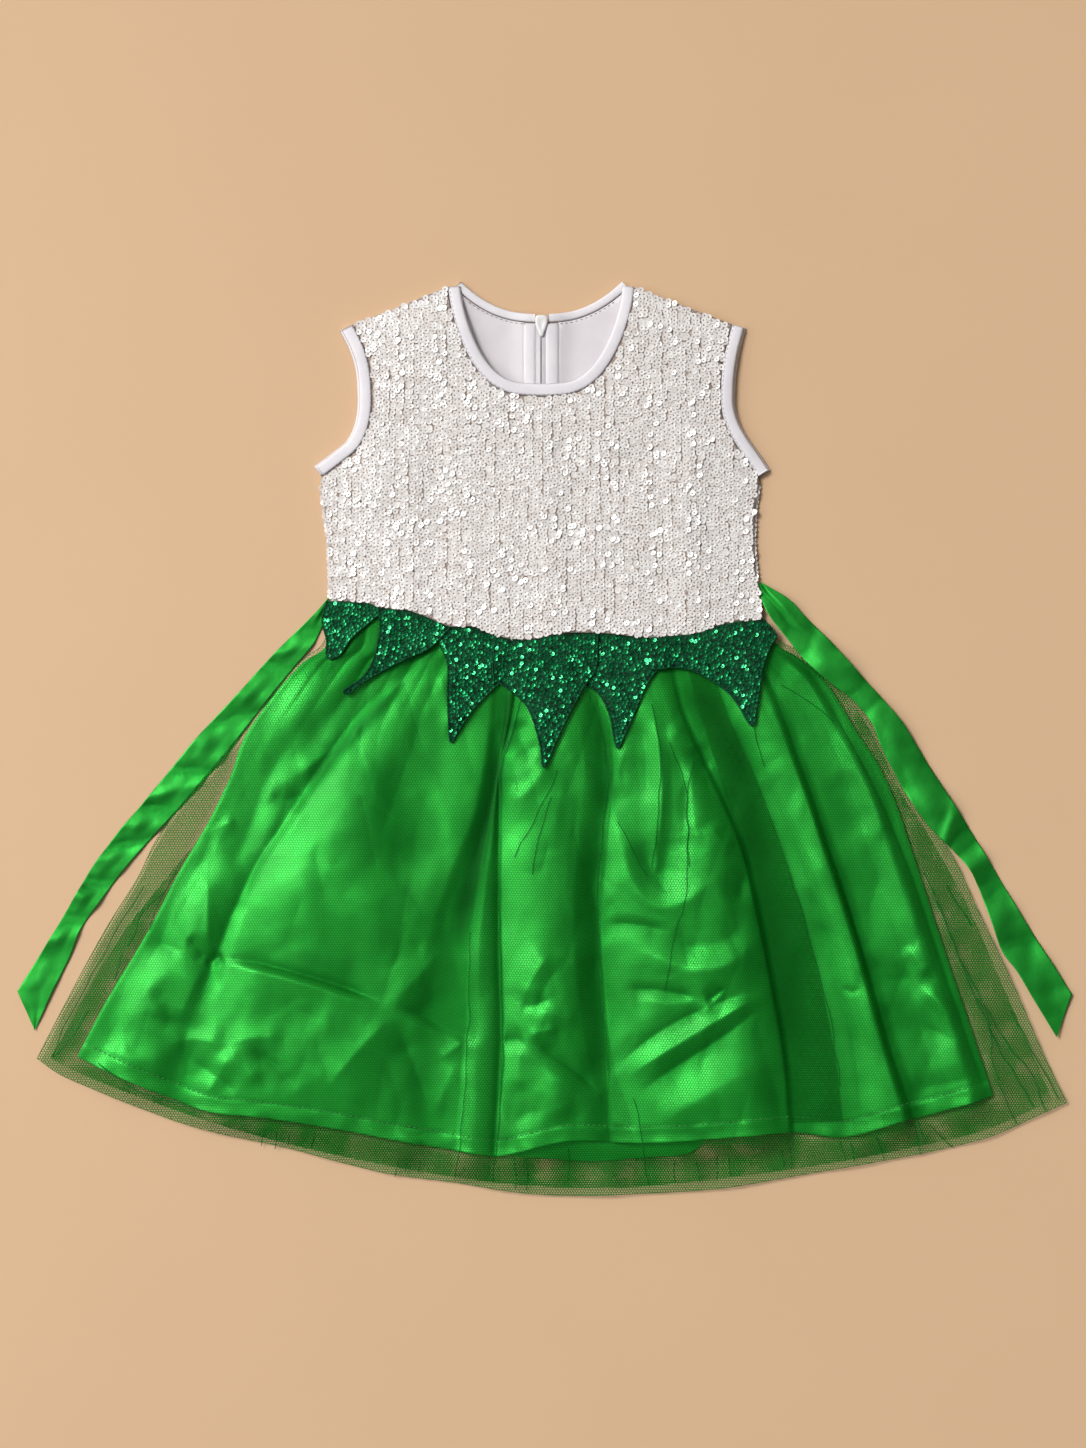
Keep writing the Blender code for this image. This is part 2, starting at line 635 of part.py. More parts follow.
def add_zip(collection):
    tape_z = ZIP_RISE + PANEL_WALL + SEAM_GAP
    slider_z = tape_z + TAPE_WALL + SEAM_GAP
    axis_y = SLIDER_TOP_Y - PULL_AXIS_SET_BACK
    for side in ("left", "right"):
        sign = -1 if side == "left" else 1
        near, far = sorted((CENTRE_X + sign * TAPE_INNER, CENTRE_X + sign * TAPE_OUTER))
        top = min(back_neck_y(near), back_neck_y(far)) - SEAM_GAP
        outline = [Vector(p) for p in ((near, BACK_WAIST_Y + 1.0), (far, BACK_WAIST_Y + 1.0),
                                       (far, top), (near, top))]
        sheet(f"zip_tape_{side}", outline,
              lambda x, y: panel_top(x, y) + SEAM_GAP + TAPE_WALL, TAPE_WALL,
              "white_nylon", collection, bend_columns(side, outline))

    coil_end = axis_y - 0.5 * BRIDGE_LENGTH - SEAM_GAP
    coil = bpy.data.meshes.new("zip_coil")
    build = bmesh.new()
    bmesh.ops.create_cone(build, cap_ends=True, segments=10, radius1=0.5, radius2=0.5, depth=1.0)
    build.to_mesh(coil)
    build.free()
    coil_length = coil_end - BACK_WAIST_Y - 1.0
    rod = add_object("zip_coil", coil, "white_nylon", collection)
    rod.rotation_euler.x = math.radians(90.0)
    rod.scale = (2 * COIL_HALF_WIDTH * MM, COIL_HEIGHT * MM, coil_length * MM)
    rod.location = (CENTRE_X * MM, (coil_end - 0.5 * coil_length) * MM,
                    (tape_z + TAPE_WALL - 0.5 * COIL_HEIGHT) * MM)

    body = plate("zip_slider", slider_outline(), slider_z, SLIDER_WALL, "white_enamel",
                 collection)
    lug = box("slider_bridge",
              (CENTRE_X - 0.5 * BRIDGE_WIDTH, axis_y - 0.5 * BRIDGE_LENGTH, LUG_BOTTOM_Z),
              (CENTRE_X + 0.5 * BRIDGE_WIDTH, axis_y + 0.5 * BRIDGE_LENGTH, slider_z + 0.8),
              "white_enamel", collection)
    hole = box("lug_hole",
               (CENTRE_X - BRIDGE_WIDTH, axis_y - 0.5 * LUG_HOLE, PULL_AXIS_Z - 0.5 * LUG_HOLE),
               (CENTRE_X + BRIDGE_WIDTH, axis_y + 0.5 * LUG_HOLE, PULL_AXIS_Z + 0.5 * LUG_HOLE),
               "white_enamel", collection)
    combine(lug, hole, "DIFFERENCE")
    combine(body, lug, "UNION")
    add_pull(axis_y, collection)


def add_pull(axis_y, collection):
    """The pull tab, outside the back under the slider, hung on its crossbar in the lug."""
    half = 0.5 * PULL_WIDTH
    eye_half = 0.5 * PULL_EYE_WIDTH
    bar = 0.5 * PULL_WALL
    profile = [
        (eye_half + 0.8, bar), (eye_half + 0.8, -3.0), (0.7 * half, -8.0), (half, -15.0),
        (0.96 * half, -19.0), (0.7 * half, -22.0), (0.3 * half, -23.6), (0.0, -PULL_LENGTH),
    ]
    ring = profile + [(-x, y) for x, y in profile[-2::-1]]
    outline = [Vector((x, y)) for x, y in ring]
    tab = plate("zip_pull_tab", outline, -0.5 * PULL_WALL, PULL_WALL, "white_enamel", collection)
    eye = box("pull_eye", (-eye_half, -bar - PULL_EYE_LENGTH, -PULL_WALL),
              (eye_half, -bar, PULL_WALL), "white_enamel", collection)
    combine(tab, eye, "DIFFERENCE")
    hinge = bpy.data.objects.new("zip_pull_hinge", None)
    collection.objects.link(hinge)
    hinge.location = (CENTRE_X * MM, axis_y * MM, PULL_AXIS_Z * MM)
    tab.parent = hinge


def across_three(top, middle, hem, down):
    """A quadratic through the values at the waist, the middle and the hem."""
    return (
        top * (1 - down) * (1 - 2 * down) + 4 * middle * down * (1 - down)
        + hem * down * (2 * down - 1)
    )


def fold_lift(x, y):
    """The satin's folds, blended so that their flanks run into each other."""
    down = min(max((FOLD_TOP_Y - y) / (FOLD_TOP_Y - FOLD_HEM_Y), 0.0), 1.05)
    total = 0.0
    for fold in FOLDS:
        left = across_three(fold.left_top, fold.left_mid, fold.left_hem, down)
        right = across_three(fold.right_top, fold.right_mid, fold.right_hem, down)
        height = across_three(fold.height_top, fold.height_mid, fold.height_hem, down)
        rise = smooth((x - left) / fold.rise_left + 0.5) * smooth((right - x) / fold.rise_right + 0.5)
        total += max(height * rise, 0.0) ** FOLD_BLEND
    return total ** (1 / FOLD_BLEND)


def satin_outline():
    waist = [Vector((x, y - SEAM_GAP)) for x, y in WAIST_POINTS]
    left = [Vector(p) for p in SATIN_LEFT]
    hem = [Vector(p) for p in SATIN_HEM]
    right = [Vector(p) for p in SATIN_RIGHT]
    return waist[::-1] + left + hem + right


def satin_top(x, y, outline):
    inside = edge_distance(Vector((x, y)), outline)
    sides = min(side_gap(x, y, SATIN_LEFT), side_gap(x, y, SATIN_RIGHT))
    settle = smooth(sides / SATIN_EDGE_SETTLE) if inside > -0.01 else 0.0
    return SATIN_BOTTOM_Z + SATIN_WALL + settle * fold_lift(x, y)


def side_gap(x, y, edge):
    """How far x is from a side edge of the skirt, level with it."""
    return abs(x - read_line([(p[1], p[0]) for p in edge], y))


def tulle_top(x, y, satin):
    """The net lies on the satin, and outside it drops to the layer below in low waves."""
    point = Vector((x, y))
    inside = edge_distance(point, satin)
    on_satin = satin_top(x, y, satin) if inside > 0 else None
    low = TULLE_SIDE_Z + TULLE_WALL
    wave = HEM_WAVE_HEIGHT * 0.5 * (1.0 + math.sin(x * 2 * math.pi / HEM_WAVE_LENGTH))
    if inside > 0:
        return on_satin + LAYER_GAP + TULLE_WALL
    edge_height = satin_top(*nearest_on(point, satin), satin) + LAYER_GAP + TULLE_WALL
    drop = smooth((-inside - SIDE_RAMP_START) / SIDE_RAMP)
    return edge_height + (low + wave - edge_height) * drop


def nearest_on(point, outline):
    """The outline's nearest point, moved a little inside it."""
    best, found = math.inf, outline[0]
    for i, end in enumerate(outline):
        start = outline[i - 1]
        along = end - start
        t = min(max((point - start).dot(along) / max(along.length_squared, 1e-12), 0.0), 1.0)
        place = start + along * t
        if (place - point).length < best:
            best, found = (place - point).length, place
    return found.x, found.y


def add_skirts(collection):
    satin = satin_outline()
    sheet("skirt_front", satin, lambda x, y: satin_top(x, y, satin), SATIN_WALL,
          "green_satin", collection, fan_lattice(satin, 44, 17))
    waist = [Vector((x, y - SEAM_GAP)) for x, y in WAIST_POINTS]
    tulle = (
        waist[::-1] + [Vector(p) for p in TULLE_LEFT + TULLE_HEM + TULLE_RIGHT]
    )
    sheet("tulle_front", tulle, lambda x, y: tulle_top(x, y, satin), TULLE_WALL,
          "green_net", collection, fan_lattice(tulle, 44, 17, satin), guide=satin)
    back_top = [Vector((137.0, BACK_WAIST_Y - SEAM_GAP)), Vector((-134.0, BACK_WAIST_Y - SEAM_GAP))]
    back_satin = (
        back_top + [Vector((x + BACK_SATIN_INSET, y)) for x, y in SATIN_LEFT[:-1]]
        + [Vector(p) for p in BACK_SATIN_HEM]
        + [Vector((x - BACK_SATIN_INSET, y)) for x, y in SATIN_RIGHT]
    )
    flat_sheet("skirt_back", back_satin, FLAT_WALL + SEAM_GAP, FLAT_WALL, "green_satin",
               collection)
    back_tulle = back_top + [
        Vector(p) for p in BACK_TULLE_LEFT + BACK_TULLE_HEM + BACK_TULLE_RIGHT
    ]
    flat_sheet("tulle_back", back_tulle, 0.0, FLAT_WALL, "green_net", collection)
    return satin, tulle


def waist_y(x):
    return read_line(WAIST_POINTS, x)


def leaf_outline(leaf):
    left = (leaf.root_left, waist_y(leaf.root_left) - SEAM_GAP)
    right = (leaf.root_right, waist_y(leaf.root_right) - SEAM_GAP)
    edge = curved((left,) + leaf.edge + (right,), 2)
    along = [Vector((x, y - SEAM_GAP)) for x, y in WAIST_POINTS
             if leaf.root_left + 1.0 < x < leaf.root_right - 1.0]
    return edge + along[::-1]


def add_peplum(collection, satin):
    """Six overlapping leaves; every second one lies on its neighbours."""
    for index, leaf in enumerate(LEAVES):
        outline = leaf_outline(leaf)
        step = LEAF_OVERLAP_STEP * (index % 2)

        def top(x, y, step=step):
            return tulle_top(x, y, satin) + LEAF_GAP + LEAF_WALL + step

        sheet(leaf.name, outline, top, LEAF_WALL, "green_sequin", collection,
              lattice(outline, 9.0, 8.0))


def sash_outline(rows, tip):
    outer = [Vector((row.outer, row.y)) for row in rows]
    inner = [Vector((row.inner, row.y)) for row in rows]
    return outer + [Vector(tip)] + inner[::-1]


def pucker(x, y, slant):
    """Soft diagonal puckers along a sash."""
    phase = (y + slant * x) * 2 * math.pi / SASH_PUCKER_LENGTH
    return SASH_PUCKER_HEIGHT * 0.5 * (1.0 + math.sin(phase))


def sash_inner_points(rows, outline):
    shares = [i / SASH_COLUMNS for i in range(1, SASH_COLUMNS)]
    points = [
        Vector((row.outer + (row.inner - row.outer) * share, row.y - 4.0))
        for row in rows[1:-1] for share in shares
    ]
    return [point for point in points if edge_distance(point, outline) > 1.8]


def share_across(x, y, rows):
    """0 at the sash's inner edge and 1 at its outer edge."""
    outer = read_line([(row.y, row.outer) for row in rows], y)
    inner = read_line([(row.y, row.inner) for row in rows], y)
    return (x - inner) / (outer - inner)


def add_sashes(collection, satin, tulle):
    """The left end lies on the surface, under the net's edge; the right one lies on the net."""
    left = sash_outline(LEFT_SASH_ROWS, LEFT_SASH_TIP)

    def left_top(x, y):
        clear = smooth((share_across(x, y, LEFT_SASH_ROWS) - 0.5) / 0.3)
        return SASH_WALL + pucker(x, y, 0.4) * clear

    sheet("sash_left", left, left_top, SASH_WALL, "green_satin", collection,
          sash_inner_points(LEFT_SASH_ROWS, left))

    right = sash_outline(RIGHT_SASH_ROWS, RIGHT_SASH_TIP)

    def right_top(x, y):
        point = Vector((x, y))
        over = edge_distance(point, tulle)
        beside = point if over > 0 else Vector(nearest_on(point, tulle))
        lift = tulle_top(beside.x, beside.y, satin) + SASH_GAP
        fall = smooth((-over - SASH_FALL_START) / SASH_FALL)
        clear = smooth((share_across(x, y, RIGHT_SASH_ROWS) - 0.4) / 0.3)
        return SASH_WALL + lift * (1.0 - fall) + pucker(x, y, -0.4) * clear

    sheet("sash_right", right, right_top, SASH_WALL, "green_satin", collection,
          sash_inner_points(RIGHT_SASH_ROWS, right))


def main():
    clear_scene()
    dress = bpy.data.collections.new("fairy_dress")
    bpy.context.scene.collection.children.link(dress)
    add_bodice(dress)
    add_bindings(dress)
    add_zip(dress)
    satin, tulle = add_skirts(dress)
    add_peplum(dress, satin)
    add_sashes(dress, satin, tulle)


main()
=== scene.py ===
"""The dressed view of a child's costume dress, laid flat on its back with the neck towards +Y.

Lengths are in millimetres until a mesh is made, and meshes are in metres. Left and right are those
of the picture. Creases and folds are placed in the picture's pixels, which at() turns into
millimetres.
"""

import math
from collections import namedtuple
from types import SimpleNamespace

import bpy
import numpy as np
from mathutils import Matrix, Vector
from mathutils.geometry import delaunay_2d_cdt

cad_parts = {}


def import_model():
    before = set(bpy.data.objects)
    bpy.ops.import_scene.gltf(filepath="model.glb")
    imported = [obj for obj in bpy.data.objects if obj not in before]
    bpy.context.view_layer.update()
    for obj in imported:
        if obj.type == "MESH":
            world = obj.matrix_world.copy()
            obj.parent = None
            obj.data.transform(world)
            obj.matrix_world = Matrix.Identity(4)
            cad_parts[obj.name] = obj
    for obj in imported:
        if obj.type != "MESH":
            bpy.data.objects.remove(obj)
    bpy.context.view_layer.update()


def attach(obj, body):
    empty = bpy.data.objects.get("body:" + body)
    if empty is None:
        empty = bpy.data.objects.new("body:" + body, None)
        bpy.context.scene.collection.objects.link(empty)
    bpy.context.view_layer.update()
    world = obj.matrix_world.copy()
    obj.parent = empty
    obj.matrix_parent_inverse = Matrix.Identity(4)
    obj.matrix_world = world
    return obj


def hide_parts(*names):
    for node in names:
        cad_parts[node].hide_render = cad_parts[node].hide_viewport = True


MM = 0.001
PIXEL = 0.64
PICTURE_X = 544.6
PICTURE_Y = 739.5
SEED = 7

# Levels and places that the solids have too.
SEAM_GAP = 0.3
CENTRE_X = -2.0
NECK_HALF_WIDTH = 60.0
NECK_TOP_Y = 289.0
NECK_DEPTH = 70.5
NECK_ROUNDNESS_ACROSS = 3.0
NECK_ROUNDNESS_DOWN = 1.4
NECK_STATIONS = 24
BACK_NECK_DROP = 23.0
BACK_NECK_HALF_WIDTH = 56.0
BACK_NECK_CURVE = 2.4
SHOULDER_NECK_OFFSET = 62.0
SHOULDER_RUN = 64.0
SHOULDER_DROP = 23.5
SHOULDER_CURVE = 1.15
BINDING_WIDTH = 8.4
BACK_BINDING_WIDTH = 6.0
BACK_BINDING_START = 4.4
BACK_BINDING_END = 55.5
BACK_PANEL_START = 0.9
LINING_START = 10.8
FLAP_NEAR = {"left": 3.6, "right": 2.6}
FLAP_FAR = 11.4
BACK_PEEK = 1.5
FRONT_EDGE_Z = 2.8
FRONT_CROWN = 4.4
FRONT_WALL = 1.4
SHOULDER_SETTLE = 30.0
ZIP_RISE = 2.4
ZIP_RISE_FLAT = 6.0
ZIP_RISE_SLOPE = 16.0
BACK_WAIST_Y = 80.0
SATIN_TOP_Z = 4.0
LAYER_GAP = 0.7
TULLE_SIDE_TOP_Z = 3.5
SIDE_RAMP_START = 2.0
SIDE_RAMP = 16.0
SATIN_EDGE_SETTLE = 16.0
SLIDER_TOP_Y = 271.0
PULL_AXIS = (-2.0, 266.0, 1.45)
PULL_HALF_WALL = 0.42
LOOP_HEIGHT = 1.05

ARMHOLE_ROWS = (
    (265.0, -122.0, 119.5), (252.0, -115.5, 116.0), (239.0, -111.5, 113.5),
    (225.0, -110.0, 112.3), (211.0, -110.0, 112.6), (198.0, -112.5, 116.5),
    (186.0, -118.5, 123.5), (177.0, -129.0, 130.0), (168.0, -141.0, 136.0),
)
SIDE_SEAM_ROWS = (
    (166.0, -143.0, 137.0), (149.0, -141.0, 134.5), (127.0, -138.0, 133.4), (106.0, -137.0, 135.0),
)
WAIST_POINTS = (
    (-135.0, 88.6), (-114.0, 87.4), (-105.0, 84.2), (-89.0, 82.9), (-74.6, 77.8), (-60.5, 72.0),
    (-46.5, 72.3), (-26.0, 65.0), (-9.3, 63.7), (10.8, 67.8), (39.3, 67.8), (66.2, 65.0),
    (96.3, 67.8), (114.8, 73.9), (139.8, 77.1),
)
SATIN_LEFT = (
    (-138.6, 61.1), (-154.6, 49.0), (-171.3, 30.4), (-191.4, 2.2), (-201.3, -24.6),
    (-216.1, -55.0), (-234.0, -85.4), (-254.5, -124.5), (-281.3, -169.3), (-298.6, -202.6),
)
SATIN_HEM = (
    (-273.7, -214.4), (-242.3, -227.5), (-214.8, -237.1), (-177.7, -241.0), (-134.1, -248.0),
    (-81.0, -258.2), (-36.2, -265.3), (-22.1, -264.6), (-1.0, -258.9), (19.5, -255.4),
    (47.0, -257.0), (82.2, -256.1), (111.0, -253.8), (156.4, -250.6), (192.3, -253.8),
    (227.5, -243.5), (245.4, -239.7), (286.3, -227.5),
)
SATIN_RIGHT = (
    (272.3, -184.6), (259.5, -147.2), (242.2, -94.4), (231.9, -63.0), (223.0, -37.4),
    (212.7, -15.0), (200.6, 2.9), (187.8, 24.6), (176.3, 40.6), (162.2, 52.2), (148.1, 61.1),
)
BACK_WAIST = ((-134.0, BACK_WAIST_Y - SEAM_GAP), (137.0, BACK_WAIST_Y - SEAM_GAP))
BACK_SATIN_HEM = (
    (-272.0, -212.0), (-214.0, -235.0), (-134.0, -246.0), (-81.0, -256.0), (-36.0, -264.0),
    (0.0, -267.5), (30.0, -269.5), (67.0, -267.0), (92.0, -264.5), (111.0, -252.0),
    (156.0, -249.0), (192.0, -251.0), (245.0, -238.0), (283.0, -226.0),
)
TULLE_LEFT = (
    (-141.0, 62.0), (-158.5, 47.0), (-198.0, -1.0), (-242.3, -55.0), (-260.9, -89.9),
    (-281.3, -122.6), (-307.6, -171.2), (-324.2, -203.8),
)
TULLE_HEM = (
    (-309.5, -214.1), (-287.1, -223.7), (-260.2, -234.6), (-232.1, -244.8), (-201.3, -253.1),
    (-164.9, -260.8), (-105.3, -276.2), (-56.7, -283.2), (-15.1, -289.6), (19.5, -291.5),
    (61.1, -290.2), (111.0, -287.0), (165.4, -278.1), (240.3, -264.6), (284.4, -253.8),
    (316.4, -239.7), (333.7, -232.0),
)
TULLE_RIGHT = (
    (316.4, -195.5), (298.8, -154.6), (277.4, -109.8), (264.6, -81.6), (255.6, -66.0),
    (236.0, -33.0), (221.0, -3.0), (203.0, 24.0), (170.0, 53.0), (150.0, 63.0),
)
BACK_TULLE_LEFT = (
    (-138.0, 60.0), (-153.0, 48.0), (-170.0, 28.0), (-190.0, 1.0), (-200.0, -25.0),
    (-215.0, -55.0), (-240.0, -86.0), (-270.0, -124.0), (-298.0, -171.0), (-316.0, -204.0),
)
BACK_TULLE_HEM = (
    (-285.0, -219.0), (-200.0, -249.0), (-104.0, -272.0), (-15.0, -285.0), (61.0, -286.0),
    (165.0, -274.0), (240.0, -260.0), (284.0, -249.0), (325.0, -231.0),
)
BACK_TULLE_RIGHT = (
    (292.0, -155.0), (270.0, -105.0), (246.0, -62.0), (228.0, -34.0), (213.0, -3.0),
    (196.0, 24.0), (168.0, 50.0), (150.0, 60.0),
)

Leaf = namedtuple("Leaf", "name root_left root_right edge")
LEAVES = (
    Leaf("peplum_leaf_1", -139.0, -101.0,
         ((-142.0, 75.8), (-139.0, 63.7), (-139.3, 54.5), (-136.4, 51.5), (-130.0, 54.5),
          (-124.5, 63.0), (-118.0, 69.5), (-107.0, 78.5))),
    Leaf("peplum_leaf_2", -106.0, -60.0,
         ((-104.7, 72.6), (-106.6, 59.8), (-109.8, 49.0), (-116.2, 39.4), (-128.0, 31.0),
          (-123.9, 29.4), (-119.4, 34.2), (-103.4, 43.8), (-88.7, 51.2), (-73.0, 58.6))),
    Leaf("peplum_leaf_3", -72.0, -18.0,
         ((-67.5, 62.0), (-61.8, 49.0), (-61.8, 32.3), (-61.2, 14.1), (-59.9, -1.6),
          (-54.8, 5.4), (-45.2, 19.5), (-29.2, 35.8), (-20.0, 46.0))),
    Leaf("peplum_leaf_4", -31.0, 34.0,
         ((-33.0, 44.0), (-28.5, 36.2), (-15.1, 25.9), (-8.1, 15.0), (-2.6, -4.2),
          (-0.4, -17.6), (7.9, 0.3), (18.2, 21.4), (26.5, 35.8), (33.0, 46.0))),
    Leaf("peplum_leaf_5", 18.0, 76.0,
         ((20.0, 46.0), (26.5, 35.8), (34.2, 29.8), (39.3, 21.4), (42.5, 11.8), (46.3, -5.4),
          (52.1, 5.4), (59.8, 22.7), (66.2, 37.4), (73.0, 47.0))),
    Leaf("peplum_leaf_6", 60.0, 139.6,
         ((64.0, 48.0), (71.3, 44.8), (80.9, 46.0), (92.4, 44.8), (103.3, 39.4), (116.1, 31.0),
          (123.1, 22.7), (132.1, 8.6), (135.0, 20.0), (139.1, 45.8), (143.6, 58.6),
          (147.5, 67.0))),
)

# Each row of a sash end is its y, then the x of its outer and inner edge.
LEFT_SASH_ROWS = (
    (91.0, -138.0, -137.4), (81.0, -146.5, -139.5), (63.0, -165.0, -146.5),
    (47.0, -180.5, -159.5), (30.0, -195.5, -173.5), (4.0, -220.0, -193.5),
    (-14.0, -235.0, -207.5), (-42.0, -258.0, -232.0), (-59.0, -272.5, -247.5),
    (-82.0, -289.5, -268.0), (-104.0, -302.5, -284.5), (-121.0, -312.5, -296.5),
    (-139.0, -323.5, -303.5), (-161.0, -337.0, -314.5),
)
LEFT_SASH_TIP = (-326.1, -186.0)
RIGHT_SASH_ROWS = (
    (100.0, 139.5, 137.0), (90.0, 156.0, 138.5), (79.0, 166.5, 143.5),
    (63.0, 182.7, 156.0), (50.0, 194.5, 166.5), (37.0, 206.0, 181.0),
    (25.0, 217.0, 197.0), (11.0, 228.7, 208.5), (-4.0, 238.0, 214.5),
    (-19.0, 247.3, 222.0), (-36.0, 258.5, 231.5), (-55.0, 270.5, 245.0),
    (-78.0, 284.5, 267.5), (-93.0, 293.5, 276.5), (-113.0, 305.5, 284.0),
    (-135.0, 319.5, 292.0), (-148.0, 328.0, 301.5), (-163.0, 337.3, 310.5),
)
RIGHT_SASH_TIP = (327.3, -190.4)

# Each fold of the satin lies between two lines, in pixels. Its height in millimetres is given at
# the waist, the middle and the hem, its flanks' widths at the waist and the hem, and its crest's
# place as a share of its width.
Fold = namedtuple("Fold", "name left right height rise_left rise_right crest")
FOLDS = (
    Fold("left_side",
         ((320, 640), (250, 760), (200, 860), (140, 980), (85, 1080)),
         ((430, 640), (340, 740), (285, 830), (240, 930), (200, 1010), (165, 1120)),
         (0.3, 3.4, 3.6), (12, 16), (16, 40), 0.4),
    Fold("left_big",
         ((446, 640), (420, 663), (371, 704), (333, 754), (295, 811), (260, 857), (235, 905),
          (216, 955), (200, 1010), (180, 1110)),
         ((505, 640), (497, 694), (493, 748), (482, 813), (462, 868), (446, 917), (436, 960),
          (430, 1040), (428, 1140)),
         (1.2, 12.5, 5.0), (8, 44), (8, 34), 0.36),
    Fold("left_inner",
         ((510, 640), (506, 720), (493, 800), (480, 870), (470, 940), (464, 1034), (455, 1150)),
         ((520, 640), (514, 709), (500, 768), (500, 846), (500, 940), (502, 1040), (497, 1150)),
         (0.8, 2.6, 4.2), (8, 26), (10, 14), 0.4),
    Fold("centre_left",
         ((520, 640), (514, 709), (501, 768), (501, 790), (500, 846), (500, 940), (502, 1040),
          (495, 1150)),
         ((585, 640), (598, 720), (604, 790), (598, 846), (594, 896), (598, 1008), (602, 1069),
          (606, 1160)),
         (1.2, 9.0, 7.0), (3, 4), (24, 36), 0.5),
    Fold("centre_right",
         ((586, 640), (606, 740), (611, 775), (604, 846), (599, 900), (601, 965), (606, 1030),
          (608, 1069), (612, 1160)),
         ((650, 640), (680, 760), (694, 860), (706, 960), (712, 1160)),
         (0.8, 6.6, 6.8), (3, 3), (20, 26), 0.5),
    Fold("right_front",
         ((612, 640), (622, 740), (628, 850), (632, 960), (636, 1160)),
         ((668, 650), (682, 711), (703, 760), (726, 808), (745, 855), (757, 905),
          (772, 983), (783.5, 1047), (790, 1117), (792, 1160)),
         (1.2, 11.0, 9.5), (30, 50), (4, 4), 0.7),
    Fold("right_second",
         ((704, 640), (716, 684), (750, 751), (784, 824), (806, 883), (824, 937), (836, 980),
          (850, 1030), (858, 1086), (862, 1150)),
         ((752, 640), (784, 719), (798, 759), (812, 798), (828, 848), (848, 907), (867, 970),
          (886, 1039), (911, 1114), (918, 1150)),
         (1.0, 8.0, 6.4), (10, 34), (8, 14), 0.8),
    Fold("right_side",
         ((784, 640), (822, 719), (852, 798), (878, 880), (900, 950), (922, 1040), (944, 1114)),
         ((790, 640), (860, 760), (905, 860), (940, 960), (975, 1060), (1000, 1120)),
         (0.3, 5.4, 5.2), (28, 44), (12, 16), 0.9),
)
FOLD_ARCH = 0.75
FOLD_TOP_Y = 66.0
FOLD_HEM_Y = -258.0
FOLD_BLEND = 5.0

